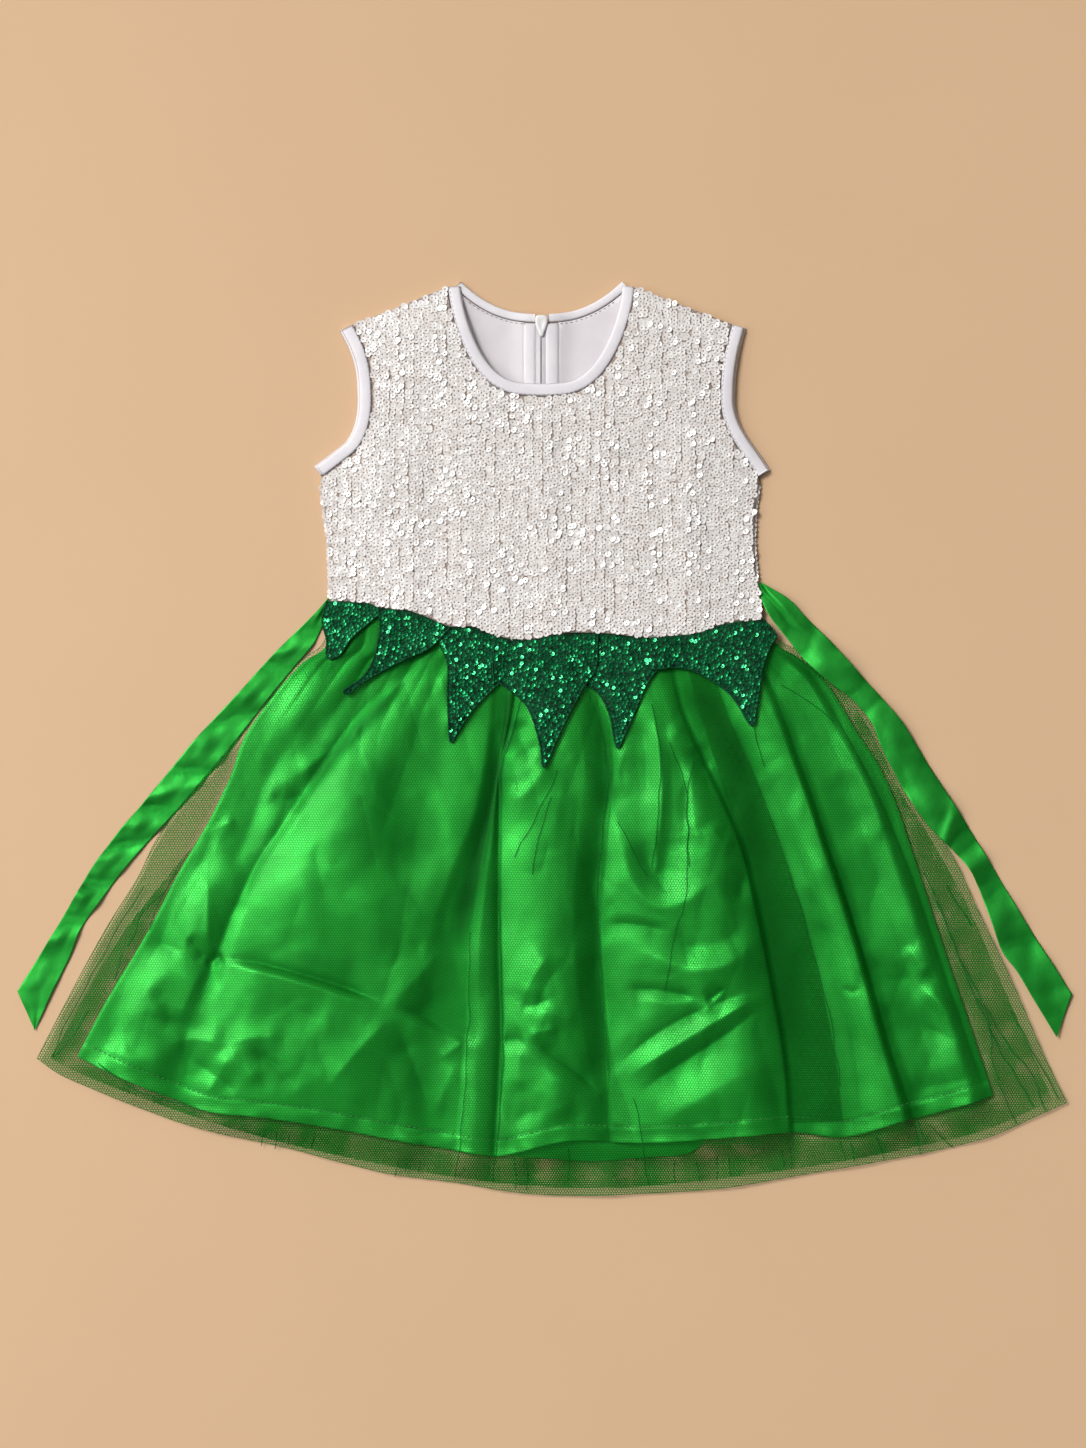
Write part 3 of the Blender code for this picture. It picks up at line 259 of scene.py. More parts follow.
# A crease runs through pixels. Its height is that of its crest, below 0 for a trough. Its two
# flanks reach this far to the left and the right of its way, and round is the radius of its crest.
Crease = namedtuple("Crease", "points height reach_left reach_right round")
CREASES = (
    # The left side fold, its facets and the star where they meet.
    Crease(((300, 728), (268, 775), (248, 830), (226, 880)), -3.2, 14, 26, 3),
    Crease(((352, 668), (318, 700), (284, 742)), 0.7, 18, 20, 4),
    Crease(((372, 672), (330, 716), (300, 752)), -1.4, 12, 14, 3),
    Crease(((298, 780), (316, 762), (336, 748)), 1.5, 12, 16, 1.0),
    Crease(((270, 792), (286, 800), (306, 790)), -1.4, 12, 10, 1.0),
    Crease(((206, 834), (222, 826), (238, 818)), 1.2, 12, 10, 0.6),
    Crease(((206, 834), (200, 848), (194, 858)), 1.0, 8, 8, 0.6),
    Crease(((208, 862), (209, 905), (210, 940), (213, 957)), 2.4, 14, 34, 0.6),
    Crease(((140, 937), (166, 944), (188, 951)), -1.4, 22, 14, 0.6),
    Crease(((188, 936), (198, 946), (207, 962)), -1.3, 7, 7, 0.5),
    Crease(((205, 963), (214, 960), (225, 954)), -1.4, 7, 6, 0.5),
    Crease(((206, 963), (196, 984), (187, 1002), (180, 1026)), 2.4, 20, 40, 0.8),
    Crease(((150, 986), (170, 1008), (166, 1034)), -1.6, 20, 18, 2),
    Crease(((118, 1008), (146, 1010), (168, 1000)), 1.0, 18, 14, 3),
    # Across the big fold: its broad trough, and the long crease from the star.
    Crease(((458, 664), (438, 732), (424, 800), (408, 868), (398, 912)), -5.2, 36, 62, 7),
    Crease(((346, 876), (374, 910), (404, 922), (440, 902)), 1.2, 26, 26, 5),
    Crease(((436, 668), (448, 706), (444, 744)), 1.4, 10, 9, 1.5),
    Crease(((470, 700), (458, 718), (444, 730)), 1.2, 10, 9, 1.5),
    Crease(((216, 954), (267, 964), (312, 976), (354, 990), (394, 1004)), -4.2, 62, 5, 0.5),
    Crease(((394, 1004), (413, 1011), (448, 1026), (486, 1040)), -3.2, 44, 7, 0.5),
    Crease(((392, 1003), (410, 985), (430, 963), (442, 938)), 1.5, 20, 24, 0.6),
    Crease(((393, 1014), (360, 1048), (326, 1088)), 2.3, 30, 22, 0.6),
    Crease(((393, 1015), (405, 1043), (418, 1075), (427, 1105), (435, 1140)), -2.8, 22, 34, 0.5),
    Crease(((468, 1038), (452, 1050), (438, 1060)), 1.2, 12, 12, 0.6),
    Crease(((462, 1054), (446, 1086), (432, 1120)), 1.2, 16, 16, 1.0),
    Crease(((250, 1002), (290, 1012), (330, 1024)), -1.4, 26, 30, 7),
    # Crumples above the hem on the left.
    Crease(((226, 1044), (198, 1038), (164, 1044)), 1.5, 16, 14, 0.8),
    Crease(((226, 1044), (243, 1062), (264, 1082)), 1.5, 14, 14, 0.8),
    Crease(((226, 1044), (256, 1036), (288, 1034)), 1.3, 14, 16, 0.8),
    Crease(((230, 1050), (220, 1074), (204, 1096)), 1.1, 13, 12, 1.0),
    Crease(((248, 1046), (272, 1060), (300, 1090)), -1.4, 11, 11, 1.0),
    Crease(((192, 1060), (214, 1072), (240, 1092)), -1.2, 11, 11, 1.0),
    Crease(((300, 1062), (334, 1082), (370, 1110)), 1.1, 18, 16, 2),
    Crease(((106, 1046), (140, 1058), (176, 1060)), 0.9, 16, 12, 2),
    # The centre fold.
    Crease(((503, 792), (520, 797), (536, 782), (552, 756)), 1.8, 18, 22, 1.5),
    Crease(((516, 716), (524, 744), (540, 758)), -1.6, 12, 12, 2),
    Crease(((560, 724), (552, 760), (560, 800), (574, 850)), -1.5, 18, 20, 4),
    Crease(((566, 770), (556, 820), (546, 868)), 1.1, 14, 16, 2),
    Crease(((553, 948), (536, 972), (519, 1002)), 1.8, 20, 18, 0.6),
    Crease(((562, 960), (546, 984), (536, 1012)), -1.0, 14, 11, 1.0),
    Crease(((519, 1002), (534, 1004), (552, 996)), -1.2, 10, 9, 0.6),
    Crease(((536, 1006), (556, 1014), (580, 1018)), 1.0, 10, 12, 1.0),
    Crease(((500, 1039), (513, 1040), (526, 1036)), -1.3, 11, 10, 0.5),
    Crease(((526, 1036), (542, 1030), (560, 1026)), 1.2, 10, 13, 0.6),
    Crease(((528, 1036), (552, 1053), (576, 1071), (602, 1094)), -3.0, 38, 10, 0.5),
    Crease(((524, 1040), (518, 1062), (520, 1092)), 1.2, 14, 16, 1.0),
    Crease(((560, 1064), (556, 1092), (566, 1120)), 1.2, 20, 22, 3),
    Crease(((508, 1128), (526, 1112), (548, 1110)), -1.2, 14, 14, 2),
    # Right of the centre, from the gathers down to the long diagonal folds.
    Crease(((612, 786), (620, 840), (634, 884), (655, 905), (680, 902), (706, 884), (730, 860)),
           2.8, 22, 20, 2.0),
    Crease(((640, 830), (650, 870), (664, 866), (672, 820)), -2.0, 13, 15, 3),
    Crease(((651, 700), (659, 760), (661, 800), (656, 862)), 1.8, 7, 14, 0.5),
    Crease(((640, 708), (646, 752), (648, 806)), -1.6, 12, 12, 1.5),
    Crease(((670, 742), (686, 792), (684, 836)), -1.3, 12, 12, 1.0),
    Crease(((694, 752), (690, 800), (700, 850)), 1.4, 10, 14, 1.0),
    Crease(((668, 722), (690, 742), (708, 752)), 1.6, 14, 14, 1.0),
    Crease(((694, 744), (697, 758), (712, 770)), -1.3, 10, 10, 0.8),
    Crease(((708, 820), (718, 838), (736, 846)), 1.5, 14, 14, 1.0),
    Crease(((628, 742), (618, 772), (624, 800)), 1.4, 12, 12, 1.5),
    Crease(((602, 923), (636, 923), (673, 931)), -1.0, 6, 12, 0.5),
    Crease(((622, 944), (655, 955), (692, 967), (730, 960), (768, 926)), 3.0, 24, 20, 2.0),
    Crease(((640, 936), (680, 946), (722, 940), (752, 916)), -1.8, 14, 14, 3),
    Crease(((735, 905), (742, 882), (752, 868)), -1.5, 12, 12, 2),
    Crease(((618, 988), (660, 989), (703, 998)), -1.2, 7, 9, 0.5),
    Crease(((640, 998), (672, 1001), (703, 1000)), 0.8, 6, 15, 0.5),
    Crease(((703, 999), (714, 994), (725, 984)), -1.8, 9, 8, 0.5),
    Crease(((698, 1014), (712, 1001), (726, 986)), 1.6, 8, 9, 0.5),
    Crease(((612, 1070), (640, 1044), (670, 1023), (702, 1007), (735, 995), (769, 990)),
           -1.5, 12, 9, 0.5),
    Crease(((622, 1080), (656, 1056), (688, 1036), (720, 1016), (745, 1001), (769, 996)),
           1.6, 9, 9, 0.5),
    Crease(((630, 1098), (662, 1074), (694, 1053), (724, 1033), (748, 1015), (771, 1005)),
           -1.8, 9, 30, 0.5),
    Crease(((648, 1128), (690, 1102), (730, 1078), (768, 1062)), 0.7, 20, 12, 1.5),
    Crease(((640, 1120), (690, 1100), (740, 1090), (780, 1100)), 1.2, 26, 22, 5),
    # The second fold on the right, and the crumples beside the right edge.
    Crease(((796, 892), (812, 876), (830, 858)), 0.9, 22, 22, 3),
    Crease(((760, 780), (782, 800), (802, 806)), -0.8, 20, 20, 5),
    Crease(((842, 984), (850, 991), (859, 985)), -0.6, 4, 4, 0.4),
    Crease(((786, 656), (812, 688), (838, 732)), 1.6, 12, 12, 1.0),
    Crease(((808, 664), (832, 702), (850, 744)), -1.2, 8, 9, 0.8),
    Crease(((840, 700), (862, 770), (880, 830)), 1.0, 20, 18, 4),
    Crease(((838, 770), (852, 812), (866, 834)), -1.4, 16, 16, 4),
    Crease(((866, 818), (888, 856), (904, 900)), 0.7, 16, 16, 3),
    Crease(((862, 956), (889, 979), (917, 973)), -1.8, 18, 16, 1.0),
    Crease(((904, 944), (916, 960), (926, 976)), 1.2, 10, 11, 0.5),
    Crease(((919, 975), (945, 984), (966, 987)), -1.8, 14, 11, 0.5),
    Crease(((916, 984), (944, 1006), (966, 1018)), 1.8, 14, 18, 0.6),
    Crease(((884, 986), (902, 1010), (932, 1030), (962, 1036)), -0.9, 20, 22, 2),
    Crease(((900, 1094), (944, 1082), (986, 1075)), -0.9, 12, 15, 0.8),
)
CREASE_TAPER = 0.3
CREASE_STRENGTH = 1.3
CREASE_CURVE = 1.7

# The gathers under the waist: their number across the skirt, height, and how far down they run.
GATHERS = ((33.0, 0.4, 1.3), (51.0, 1.9, 0.8), (21.0, 3.1, 1.2))
GATHER_REACH = 32.0

# How far the satin may sink below its mean level between the folds, in millimetres.
SATIN_SINK = 1.4

# Faint straight creases all over the satin: how many sets of them, and how high.
CRUMPLES = 9
CRUMPLE_HEIGHT = 0.8

# Painted shade in the gaps beside the folds, in pixels: how far it reaches on the left and the
# right of its way in millimetres, and how dark it is.
Shade = namedtuple("Shade", "points reach_left reach_right depth")
SHADES = (
    Shade(((504, 686), (498, 740), (492, 790), (481, 835), (470, 880), (458, 930), (450, 990)),
          11, 7, 1.0),
    Shade(((672, 664), (694, 690), (716, 722), (740, 768), (756, 812)), 12, 12, 1.0),
    Shade(((704, 712), (728, 770), (750, 838), (765, 905), (780, 975), (791, 1050), (798, 1124)),
          15, 8, 0.85),
    Shade(((684, 700), (708, 756), (730, 806), (748, 855), (761, 905), (776, 983), (787, 1047)),
          4, 3, 0.7),
    Shade(((424, 668), (386, 704), (344, 748), (312, 788), (292, 818)), 4, 10, 0.75),
    Shade(((380, 740), (386, 790), (388, 840), (392, 884)), 15, 15, 0.4),
    Shade(((470, 930), (462, 1000), (458, 1070)), 10, 9, 0.35),
    Shade(((596, 800), (590, 880), (592, 960), (600, 1060)), 4, 14, 0.2),
    Shade(((512, 670), (508, 710), (503, 770)), 9, 7, 0.95),
    Shade(((584, 680), (598, 716), (608, 770), (606, 840)), 7, 7, 0.7),
    Shade(((820, 740), (846, 810), (868, 880), (886, 940)), 14, 4, 0.25),
)
# How strong the painted shade is in narrow and in broad hollows, and how it rises towards the waist
# and the peplum from WAIST_SHADE_Y over WAIST_SHADE_REACH.
SHADE_OF_DEPTH = 0.5
SHADE_OF_BREADTH = 0.6
WAIST_SHADE = 0.65
WAIST_SHADE_Y = 24.0
WAIST_SHADE_REACH = 32.0

# Standing creases of the net, where it is doubled along a thin line, in pixels.
NET_LINES_ON_SATIN = (
    ((651, 705), (660, 761), (655, 842), (651, 868)),
    ((668, 742), (686, 796), (684, 900), (675, 928), (664, 989)),
    ((692, 762), (686, 800), (688, 866)),
    ((618, 820), (632, 850), (647, 876)),
    ((558, 770), (540, 808), (514, 857)),
    ((551, 796), (540, 834), (532, 874)),
    ((753, 727), (757, 748), (765, 766)),
    ((470, 932), (468, 1034), (465, 1084), (459, 1149), (455, 1180)),
    ((499, 900), (502.5, 1039), (501, 1095), (497, 1145), (493, 1182)),
    ((610, 770), (601, 846), (597, 896), (603, 1008), (608, 1069)),
    ((633, 1097), (640, 1130), (644, 1160), (650, 1186)),
    ((524, 690), (516, 720), (506, 752)),
    ((588, 690), (600, 730), (606, 764)),
    ((808, 937), (817, 970), (831, 1025), (839, 1086)),
    ((788, 873), (800, 908), (808, 937)),
    ((780, 684), (806, 700), (832, 722)),
)
NET_LINES_BESIDE = (
    ((145, 886), (119, 926), (96, 969), (71, 1014), (52, 1057)),
    ((164, 892), (142, 913), (136, 934), (122, 957), (116, 980)),
    ((178, 872), (158, 904), (150, 930)),
    ((90, 1011), (74, 1034), (54, 1057)),
    ((947, 885), (958, 906), (970, 926)),
    ((923, 873), (953, 942), (964, 967), (984, 1004), (1004, 1040), (1029, 1071), (1045, 1110)),
    ((972, 993), (986, 1014), (992, 1059), (998, 1083), (1015, 1124)),
    ((936, 900), (960, 960), (976, 1000), (1000, 1052), (1034, 1106)),
    ((1010, 1010), (1032, 1050), (1058, 1098)),
    ((100, 1062), (140, 1090), (190, 1106)),
)
NET_LINES_AT_HEM = (
    ((266, 1131), (263, 1138), (261, 1145)),
    ((279, 1129), (277, 1139), (275, 1148)),
    ((290, 1135), (289, 1140), (288, 1145)),
    ((315, 1131), (314, 1138), (312, 1145)),
    ((398, 1158), (397, 1167), (395.6, 1175)),
    ((406.6, 1159), (406, 1166), (405.6, 1173)),
    ((420, 1160), (419.6, 1166), (419, 1172)),
    ((515.6, 1156), (515.4, 1173), (515, 1189)),
    ((527.4, 1156), (527.3, 1173), (527, 1190)),
    ((569, 1146), (568.6, 1163), (568, 1180)),
    ((674.4, 1158), (674.3, 1170), (674, 1183)),
    ((698, 1162), (699, 1172), (700, 1182)),
    ((717, 1154), (717, 1168), (717, 1180)),
    ((728, 1157), (729, 1168), (730, 1177)),
    ((782, 1149), (782.5, 1158), (783, 1167)),
    ((790, 1146), (790.5, 1157), (791, 1167)),
    ((840, 1141), (842.5, 1151), (845, 1160)),
    ((850, 1141), (852, 1151), (854, 1160)),
    ((875, 1136), (879, 1147), (883, 1158)),
    ((914, 1120), (917, 1138), (920, 1154)),
    ((917, 1119), (921, 1132), (925, 1144)),
    ((929, 1124), (940, 1136), (952, 1146)),
)
# Where the net's back is bunched below the hem of the satin: from and to, in pixels, and how
# much.
HEM_BUNCHES = ((238, 284, 0.8), (300, 350, 0.6), (458, 494, 0.4), (500, 569, 0.4),
               (634, 674, 0.8), (730, 790, 0.3), (876, 919, 0.4))
BUNCH_LEAST = 0.3
BUNCH_EDGE = 1.2
# Where the net is doubled in strips: left edge, right edge. The first of them are of the front's
# net, as many as LIGHT_STRIPS says, and those after them are of a denser net.
NET_STRIPS = (
    (((572, 690), (584, 760), (576, 850), (572, 930), (580, 1010), (590, 1070), (602, 1110),
      (612, 1186)),
     ((600, 690), (612, 760), (606, 850), (600, 930), (605, 1010), (614, 1070), (628, 1110),
      (640, 1184))),
    (((508, 690), (494, 768), (480, 850), (470, 932), (468, 1034), (465, 1084), (459, 1149),
      (455, 1180)),
     ((516, 690), (502, 768), (499, 850), (500, 932), (502, 1034), (501, 1095), (497, 1149),
      (493, 1182))),
    (((395, 1134), (395, 1150), (394, 1170)), ((423, 1138), (422, 1156), (421, 1173))),
    (((515, 1144), (515, 1160), (514, 1188)), ((529, 1144), (528, 1160), (527, 1189))),
    (((543, 1142), (543, 1160), (543, 1180)), ((571, 1140), (570, 1160), (569, 1180))),
    (((699, 1136), (699, 1156), (698, 1180)), ((717, 1136), (716, 1156), (714, 1178))),
    (((786, 1134), (785, 1154), (784, 1172)), ((794, 1134), (793, 1154), (792, 1171))),
    (((851, 1120), (853, 1140), (856, 1158)), ((866, 1118), (869, 1138), (872, 1155))),
    (((878, 1112), (884, 1132), (890, 1154)), ((924, 1102), (928, 1124), (934, 1146))),
    (((682, 650), (699, 712), (717, 770), (738, 838), (753, 905), (769, 975), (782, 1050),
      (790, 1122)),
     ((706, 650), (726, 712), (756, 780), (778, 838), (800, 905), (818, 975), (833, 1050),
      (842, 1120))),
)
LIGHT_STRIPS = 9
NET_STRIP_LIFT = 0.5

# The camera looks straight down at this place. FRAME_HEIGHT is how much floor its frame holds.
CAMERA_X = -1.0
CAMERA_Y = 9.9
FRAME_HEIGHT = 926.7
LENS = 85.0
SENSOR = 36.0

# How far a sequin leans, x then y, to mirror the key light into the camera.
GLINT_LEAN = (-0.29, 0.22)

# The lights: where they come from, how strong they are and the key light's width in degrees.
# The room's own light is brightest from FILL_FROM.
KEY_FROM = (-0.54, 0.41, 0.80)
KEY_STRENGTH = 2.3
KEY_ANGLE = 20.0
SIDE_FROM = (-1.15, 0.1, 0.95)
SIDE_STRENGTH = 5.5
SIDE_SIZE = 0.9
FILL_FROM = (-0.75, 0.5, 0.62)
FILL_LOW = 0.07
FILL_HIGH = 0.55
FLOOR_HALF = 4.0

SIGN = {"left": -1, "right": 1}

# How thick each cloth is.
FRONT_KNIT_WALL = 0.9
BACK_KNIT_WALL = 0.5
LEAF_WALL = 0.8
LINING_WALL = 0.5
TAPE_WALL = 0.7
SASH_WALL = 0.45
BINDING_WALL = 1.7

# How many points each grid has across and along.
SATIN_COLUMNS, SATIN_ROWS = 508, 318
BACK_SATIN_COLUMNS, BACK_SATIN_ROWS = 150, 60
NET_COLUMNS, NET_ROWS = 300, 180
BACK_NET_COLUMNS, BACK_NET_ROWS = 360, 60
STRIP_COLUMNS, STRIP_ROWS = 14, 60
SASH_COLUMNS, SASH_ROWS = 26, 210

Sequin = namedtuple("Sequin", "radius hole sides")
FRONT_SEQUIN = Sequin(1.9, 0.5, 10)
SIDE_SEQUIN = Sequin(1.9, 0.42, 8)
BACK_SEQUIN = Sequin(1.9, 0.5, 6)
LEAF_SEQUIN = Sequin(1.25, 0.42, 8)
SEQUIN_DISH = 0.12

# The front's sequins hang in columns, and each strays a little from its place.
SEQUIN_COLUMN_GAP = 3.05
SEQUIN_PITCH = 2.75
SEQUIN_STRAY = 0.42
SEQUIN_TILT = 5.0
SIDE_SEQUIN_TILT = 30.0
BACK_SEQUIN_TILT = 1.5
LEAF_SEQUIN_TILT = 9.0

# The rows of sequins that follow a leaf's edge: the first row's place, and the gaps between rows
# and between sequins.
LEAF_ROW_START = 1.3
LEAF_ROW_GAP = 2.1
LEAF_SEQUIN_GAP = 1.95

Thread = namedtuple("Thread", "pitch length radius")
HEM_THREAD = Thread(3.4, 2.2, 0.33)
BINDING_THREAD = Thread(2.9, 2.0, 0.17)
NECK_SEAM_THREAD = Thread(3.1, 1.6, 0.2)


def at(x, y):
    """A pixel of the picture, in millimetres."""
    return (x - PICTURE_X) * PIXEL, (PICTURE_Y - y) * PIXEL


def smooth(t):
    """0 to 1 with soft ends."""
    t = np.clip(t, 0.0, 1.0)
    return t * t * (3.0 - 2.0 * t)


def curved(points, steps=6):
    """The points joined by a Catmull-Rom curve, as an array."""
    points = np.asarray(points, float)
    padded = np.vstack([2 * points[0] - points[1], points, 2 * points[-1] - points[-2]])
    t = np.arange(steps)[:, None] / steps
    parts = []
    for a, b, c, d in zip(padded, padded[1:], padded[2:], padded[3:]):
        parts.append(0.5 * (2 * b + (c - a) * t + (2 * a - 5 * b + 4 * c - d) * t ** 2
                            + (3 * b - a - 3 * c + d) * t ** 3))
    parts.append(points[-1:])
    return np.vstack(parts)


def drawn(points, steps=6):
    """A curve through pixels of the picture, in millimetres."""
    return curved([at(*p) for p in points], steps)


def even_points(points, count):
    """That many points at even distances along a line."""
    points = np.asarray(points, float)
    steps = np.hypot(*np.diff(points, axis=0).T)
    places = np.concatenate([[0.0], np.cumsum(steps)])
    wanted = np.linspace(0.0, places[-1], count)
    return np.column_stack([np.interp(wanted, places, points[:, i])
                            for i in range(points.shape[1])])


def line_length(points):
    """The length of a line through these points."""
    return np.hypot(*np.diff(np.asarray(points, float), axis=0).T).sum()


def line_x(rows, y):
    """x of a line given as (x, y) rows, at the heights y."""
    rows = rows[np.argsort(rows[:, 1])]
    return np.interp(y, rows[:, 1], rows[:, 0])


def offset_line(points, distance):
    """An open line moved to the left of its direction."""
    points = np.asarray(points, float)
    ahead = np.gradient(points, axis=0)
    normal = np.column_stack([-ahead[:, 1], ahead[:, 0]])
    return points + distance * normal / np.hypot(*normal.T)[:, None]


def beside_line(x, y, points, reach):
    """Signed distance from a line, positive on its left, and the share along it."""
    distance = np.full(x.shape, np.inf)
    share = np.zeros(x.shape)
    low, high = points.min(axis=0) - reach, points.max(axis=0) + reach
    near = (x > low[0]) & (x < high[0]) & (y > low[1]) & (y < high[1])
    if not near.any():
        return distance, share
    nx, ny = x[near], y[near]
    steps = np.diff(points, axis=0)
    lengths = np.hypot(*steps.T)
    starts = np.concatenate([[0.0], np.cumsum(lengths)[:-1]])
    best = np.full(nx.shape, np.inf)
    found_side = np.ones(nx.shape)
    found_share = np.zeros(nx.shape)
    for place, step, length, start in zip(points, steps, lengths, starts):
        t = np.clip(((nx - place[0]) * step[0] + (ny - place[1]) * step[1]) / length ** 2, 0, 1)
        off_x, off_y = nx - place[0] - t * step[0], ny - place[1] - t * step[1]
        gap = np.hypot(off_x, off_y)
        closer = gap < best
        best = np.where(closer, gap, best)
        found_side = np.where(closer, np.sign(step[0] * off_y - step[1] * off_x), found_side)
        found_share = np.where(closer, (start + t * length) / lengths.sum(), found_share)
    distance[near] = best * found_side
    share[near] = found_share
    return distance, share


def to_outline(x, y, outline):
    """Distance from a closed outline, positive inside it, and the outline's nearest points."""
    outline = np.asarray(outline, float)
    best = np.full(x.shape, np.inf)
    inside = np.zeros(x.shape, bool)
    near_x, near_y = x.copy(), y.copy()
    for start, end in zip(np.roll(outline, 1, axis=0), outline):
        step = end - start
        t = ((x - start[0]) * step[0] + (y - start[1]) * step[1]) / max(step @ step, 1e-12)
        t = np.clip(t, 0.0, 1.0)
        place_x, place_y = start[0] + t * step[0], start[1] + t * step[1]
        gap = np.hypot(x - place_x, y - place_y)
        closer = gap < best
        best = np.where(closer, gap, best)
        near_x, near_y = np.where(closer, place_x, near_x), np.where(closer, place_y, near_y)
        if start[1] != end[1]:
            spans = (start[1] > y) != (end[1] > y)
            crossing = start[0] + (y - start[1]) / (end[1] - start[1]) * (end[0] - start[0])
            inside ^= spans & (x < crossing)
    return np.where(inside, best, -best), near_x, near_y


def edge_distance(x, y, outline):
    return to_outline(x, y, outline)[0]


def waves(x, y, size, height, seed, count=14):
    """Soft uneven relief about 0: a sum of waves about this long, in seeded directions."""
    draw = np.random.default_rng(SEED + seed)
    total = np.zeros(np.shape(x))
    for _ in range(count):
        angle = draw.uniform(0, 2 * math.pi)
        length = size * draw.uniform(0.6, 1.6)
        phase = draw.uniform(0, 2 * math.pi)
        along = (x * math.cos(angle) + y * math.sin(angle)) * 2 * math.pi / length
        total = total + np.sin(along + phase)
    return height * total / math.sqrt(0.5 * count)


def three_way(values, down):
    """A quadratic through the values at the waist, the middle and the hem."""
    top, middle, hem = values
    return (top * (1 - down) * (1 - 2 * down) + 4 * middle * down * (1 - down)
            + hem * down * (2 * down - 1))


FOLD_LINES = [(fold, drawn(fold.left), drawn(fold.right)) for fold in FOLDS]
CREASE_LINES = [(crease, drawn(crease.points, 4)) for crease in CREASES]


def slant(rows, y):
    """How much a line's slant shortens the distance across it."""
    step = 4.0
    run = (line_x(rows, y + step) - line_x(rows, y - step)) / (2 * step)
    return 1.0 / np.sqrt(1.0 + run ** 2)


def fold_lift(x, y):
    """The large folds, blended where they meet."""
    down = np.clip((FOLD_TOP_Y - y) / (FOLD_TOP_Y - FOLD_HEM_Y), 0.0, 1.05)
    total = np.zeros(x.shape)
    for fold, left, right in FOLD_LINES:
        height = np.maximum(three_way(fold.height, down), 0.0)
        rise_left = fold.rise_left[0] + (fold.rise_left[1] - fold.rise_left[0]) * down ** 2
        rise_right = fold.rise_right[0] + (fold.rise_right[1] - fold.rise_right[0]) * down ** 2
        from_left = (x - line_x(left, y)) * slant(left, y)
        from_right = (line_x(right, y) - x) * slant(right, y)
        rise = smooth(from_left / rise_left + 0.5) * smooth(from_right / rise_right + 0.5)
        share = np.clip(from_left / np.maximum(from_left + from_right, 1.0), 0.0, 1.0)
        ahead = np.minimum(share / fold.crest, 1.0) * (math.pi / 2)
        behind = np.maximum((share - fold.crest) / (1 - fold.crest), 0.0) * (math.pi / 2)
        arch = np.sin(ahead) * np.cos(behind)
        rise = rise * (1.0 - FOLD_ARCH + FOLD_ARCH * arch)
        total += (height * rise) ** FOLD_BLEND
    return total ** (1 / FOLD_BLEND)


def crease_lift(x, y):
    """All creases: flanks that fall away from a crisp crest and level out."""
    total = np.zeros(x.shape)
    for crease, line in CREASE_LINES:
        reach = max(crease.reach_left, crease.reach_right) + 2.0
        distance, share = beside_line(x, y, line, reach)
        width = np.where(distance > 0, crease.reach_left, crease.reach_right)
        blunt = np.sqrt(np.minimum(distance, 1e6) ** 2 + crease.round ** 2) - crease.round
        flank = np.maximum(1.0 - blunt / width, 0.0) ** CREASE_CURVE
        ends = smooth(share / CREASE_TAPER) * smooth((1 - share) / CREASE_TAPER)
        total += CREASE_STRENGTH * crease.height * ends * flank
    return total


def skirt_lines(waist_drop, left, hem, right):
    """The four edges of a skirt panel: waist, left, hem and right."""
    waist = [(x, y - waist_drop) for x, y in WAIST_POINTS]
    return (
        curved(waist), curved([waist[0], *left]), curved([left[-1], *hem]),
        curved([waist[-1], *right[::-1], hem[-1]]),
    )


def around(edges):
    """A panel's outline from its four edges."""
    waist, left, hem, right = edges
    return np.vstack([waist[::-1], left, hem, right[::-1]])


def fan_grid(edges, columns, rows):
    """A grid between four edges, whose columns fan out as the folds do."""
    top, left, hem, right = edges
    top, hem = even_points(top, columns), even_points(hem, columns)
    left, right = even_points(left, rows), even_points(right, rows)
    u = np.linspace(0, 1, columns)[None, :, None]
    v = np.linspace(0, 1, rows)[:, None, None]
    corners = ((1 - u) * (1 - v) * top[0] + u * (1 - v) * top[-1] + (1 - u) * v * hem[0]
               + u * v * hem[-1])
    grid = ((1 - v) * top[None] + v * hem[None] + (1 - u) * left[:, None] + u * right[:, None]
            - corners)
    return grid[..., 0], grid[..., 1]


SATIN_EDGES = skirt_lines(SEAM_GAP, SATIN_LEFT, SATIN_HEM, SATIN_RIGHT)
SATIN_OUTLINE = np.vstack([
    SATIN_EDGES[0][::-1], SATIN_EDGES[1][1:], SATIN_EDGES[2][1:], SATIN_EDGES[3][::-1][1:-1],
])[::2]
SATIN_SIDES = (SATIN_EDGES[1], SATIN_EDGES[3])
NET_EDGES = skirt_lines(SEAM_GAP, TULLE_LEFT, TULLE_HEM, TULLE_RIGHT)


def side_gap(x, y):
    """How far x is inside the satin's nearer side edge, level with it."""
    return np.minimum(x - line_x(SATIN_SIDES[0], y), line_x(SATIN_SIDES[1], y) - x)


def gather_lift(x, y):
    """Uneven gathers that fan out from the waist and fade down the skirt."""
    left, right = line_x(SATIN_SIDES[0], y), line_x(SATIN_SIDES[1], y)
    across = (x - left) / (right - left)
    down = np.maximum(FOLD_TOP_Y + 8.0 - y, 0.0)
    total = np.zeros(x.shape)
    for count, phase, height in GATHERS:
        bend = 0.35 * np.sin(across * 9.0 + phase) + waves(x, y, 90.0, 0.25, int(count))
        uneven = 0.55 + 0.45 * np.sin(across * 0.37 * count + 2.0 * phase)
        reach = GATHER_REACH * (0.6 + 0.8 * uneven)
        ridge = np.abs(np.sin(math.pi * count * across / 1.5 + phase + bend))
        total += height * uneven * ridge * np.exp(-(down / reach) ** 1.5)
    return total


